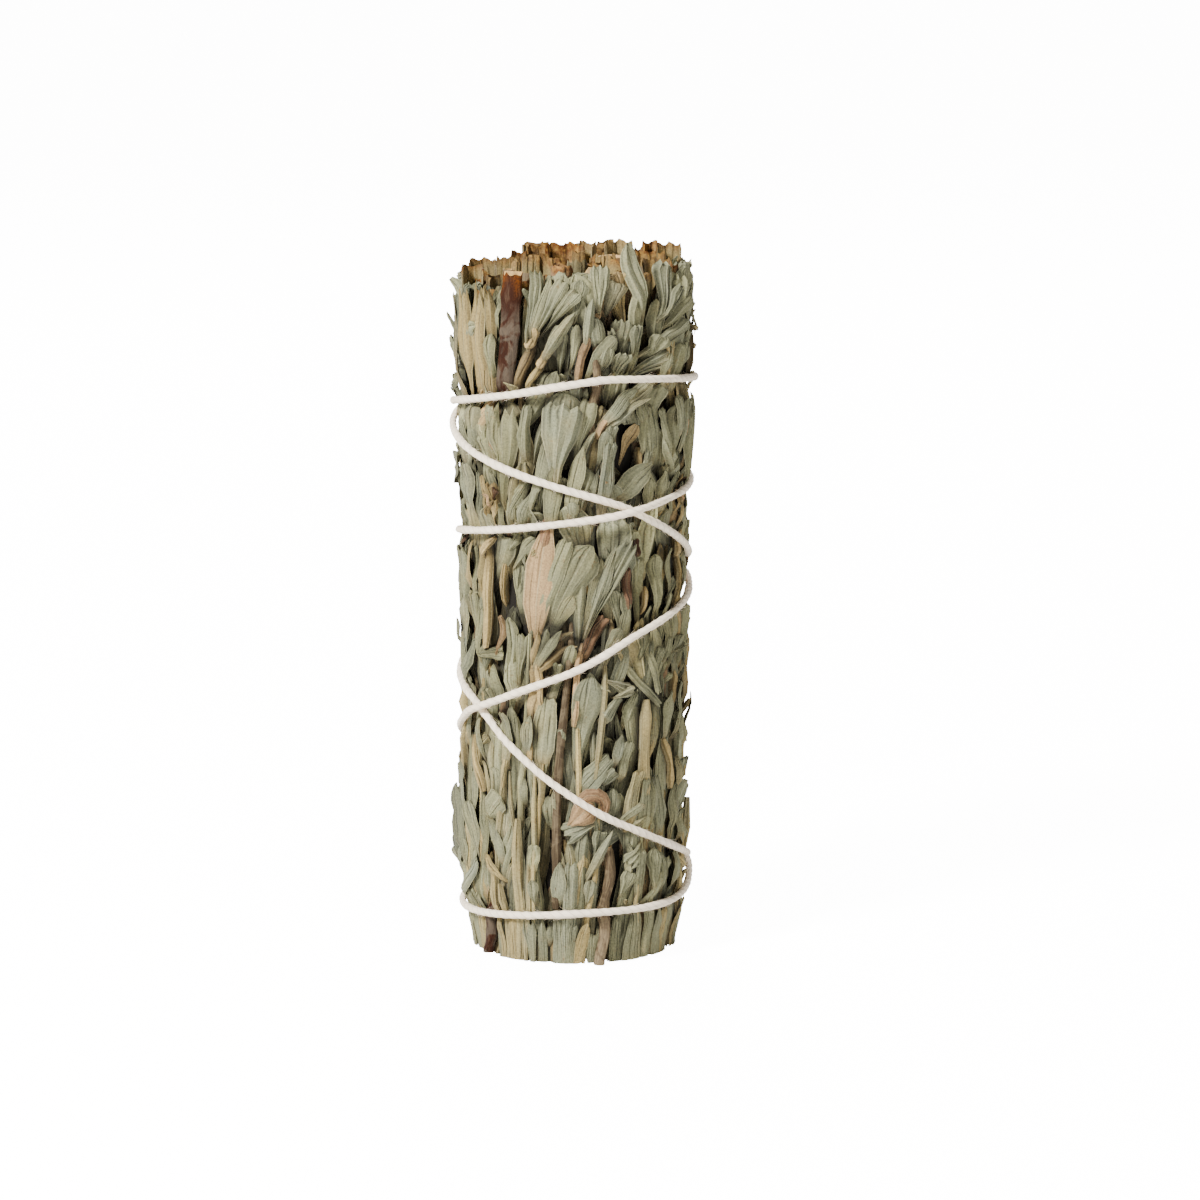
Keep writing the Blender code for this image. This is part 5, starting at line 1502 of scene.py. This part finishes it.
def fibre_copies(points, outward, count, seed):
    """Loose cotton fibres: thin three-sided threads that leave the string and end in the air."""
    path, places, ahead, over, side = frame_along(points, outward, FIBRE_STEP)
    rng = np.random.default_rng(seed)
    faces = [[k + i, k + (i + 1) % 3, k + 3 + (i + 1) % 3, k + 3 + i] for k in (0, 3, 6) for i in range(3)]
    shape = as_faces(faces, np.full((sum(map(len, faces)), 2), FIBRE_ON_SHEET))
    copies = []
    for _ in range(count):
        k = rng.integers(2, len(path) - 2)
        turn, way = rng.uniform(0, 2 * math.pi), rng.choice((-1, 1))
        off = np.cos(turn) * over[k] + np.sin(turn) * side[k]
        reach, lift = rng.uniform(0.6, 1.9) * MM, rng.uniform(0.05, 0.42) * MM
        drift = rng.normal() * 0.25 * MM
        t = np.array((0, 0.35, 0.7, 1.0))
        line = path[k] + off * (STRING_RADIUS * 0.9 + lift * t**1.5)[:, None]
        line = line + ahead[k] * (way * reach * t)[:, None]
        line = line + np.cross(off, ahead[k]) * (drift * t**2)[:, None]
        thin = FIBRE_RADIUS * np.array((1.0, 1.0, 0.8, 0.4))
        ring = [np.cos(c) * off + np.sin(c) * np.cross(off, ahead[k]) * way for c in (0, 2.094, 4.189)]
        tube = line[:, None, :] + thin[:, None, None] * np.array(ring)[None, :, :]
        copies.append((tube.reshape(-1, 3), shape, np.repeat([COTTON_TINT], 12, 0)))
    return copies


string_line = standing(string_angles, string_radii, string_heights)
string_out = standing(string_angles, np.ones(len(string_angles)), np.zeros(len(string_angles)))
t = np.linspace(0, 2 * math.pi, KNOT_POINTS)
knot_cos, knot_sin = math.cos(KNOT_AT[0]), math.sin(KNOT_AT[0])
knot_side, knot_out = np.array((knot_cos, knot_sin, 0)), np.array((knot_sin, -knot_cos, 0))
knot_radius = surface_radius(KNOT_AT[1]) + KNOT_OUT
knot_middle = np.array((knot_radius * knot_sin, -knot_radius * knot_cos, KNOT_AT[1]))
loops = (np.sin(t) + 2 * np.sin(2 * t), np.cos(t) - 2 * np.cos(2 * t), -np.sin(3 * t))
loops = np.stack(loops, 1) * KNOT_SIZE
knot_line = knot_middle + loops[:, :1] * knot_side + loops[:, 1:2] * (0, 0, 1) + loops[:, 2:] * knot_out * 0.8
knot_away = np.repeat([knot_out], len(t), 0)

cotton = open_group("cotton", "Cotton")
around, along, where = sheet_parts()
ply = maths("ABSOLUTE", maths("SINE", times(around, 3 * math.pi)))
hairs = noise(joined(times(around, 16.0), times(along, 3.0)), 3.0, 4.0)
soft = noise(where, 900.0, 3.0)
# Painted shade: the grooves between the plies are darkened.
shade = plus(0.74, times(stretched(ply, 0.0, 0.45), 0.26))
shade = times(shade, plus(0.90, times(hairs, 0.2)))
shade = times(shade, plus(0.94, times(soft, 0.12)))
close_group(darkened(group_in.outputs["Cotton"], shade), plus(0.80, times(hairs, 0.15)),
            plus(times(ply, 0.8), times(hairs, 0.6)))
cotton_finish = finished("cotton_string", cotton, {"Cotton": STRING_WHITE}, STRING_RELIEF, COTTON_LOOK)

copies = [twisted(string_line, string_out, 3), twisted(knot_line, knot_away, 4)]
copies += fibre_copies(string_line, string_out, FIBRES, 8)
string = join("tied_string", copies, cotton_finish, STRING_CREASE)
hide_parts("cotton_string")
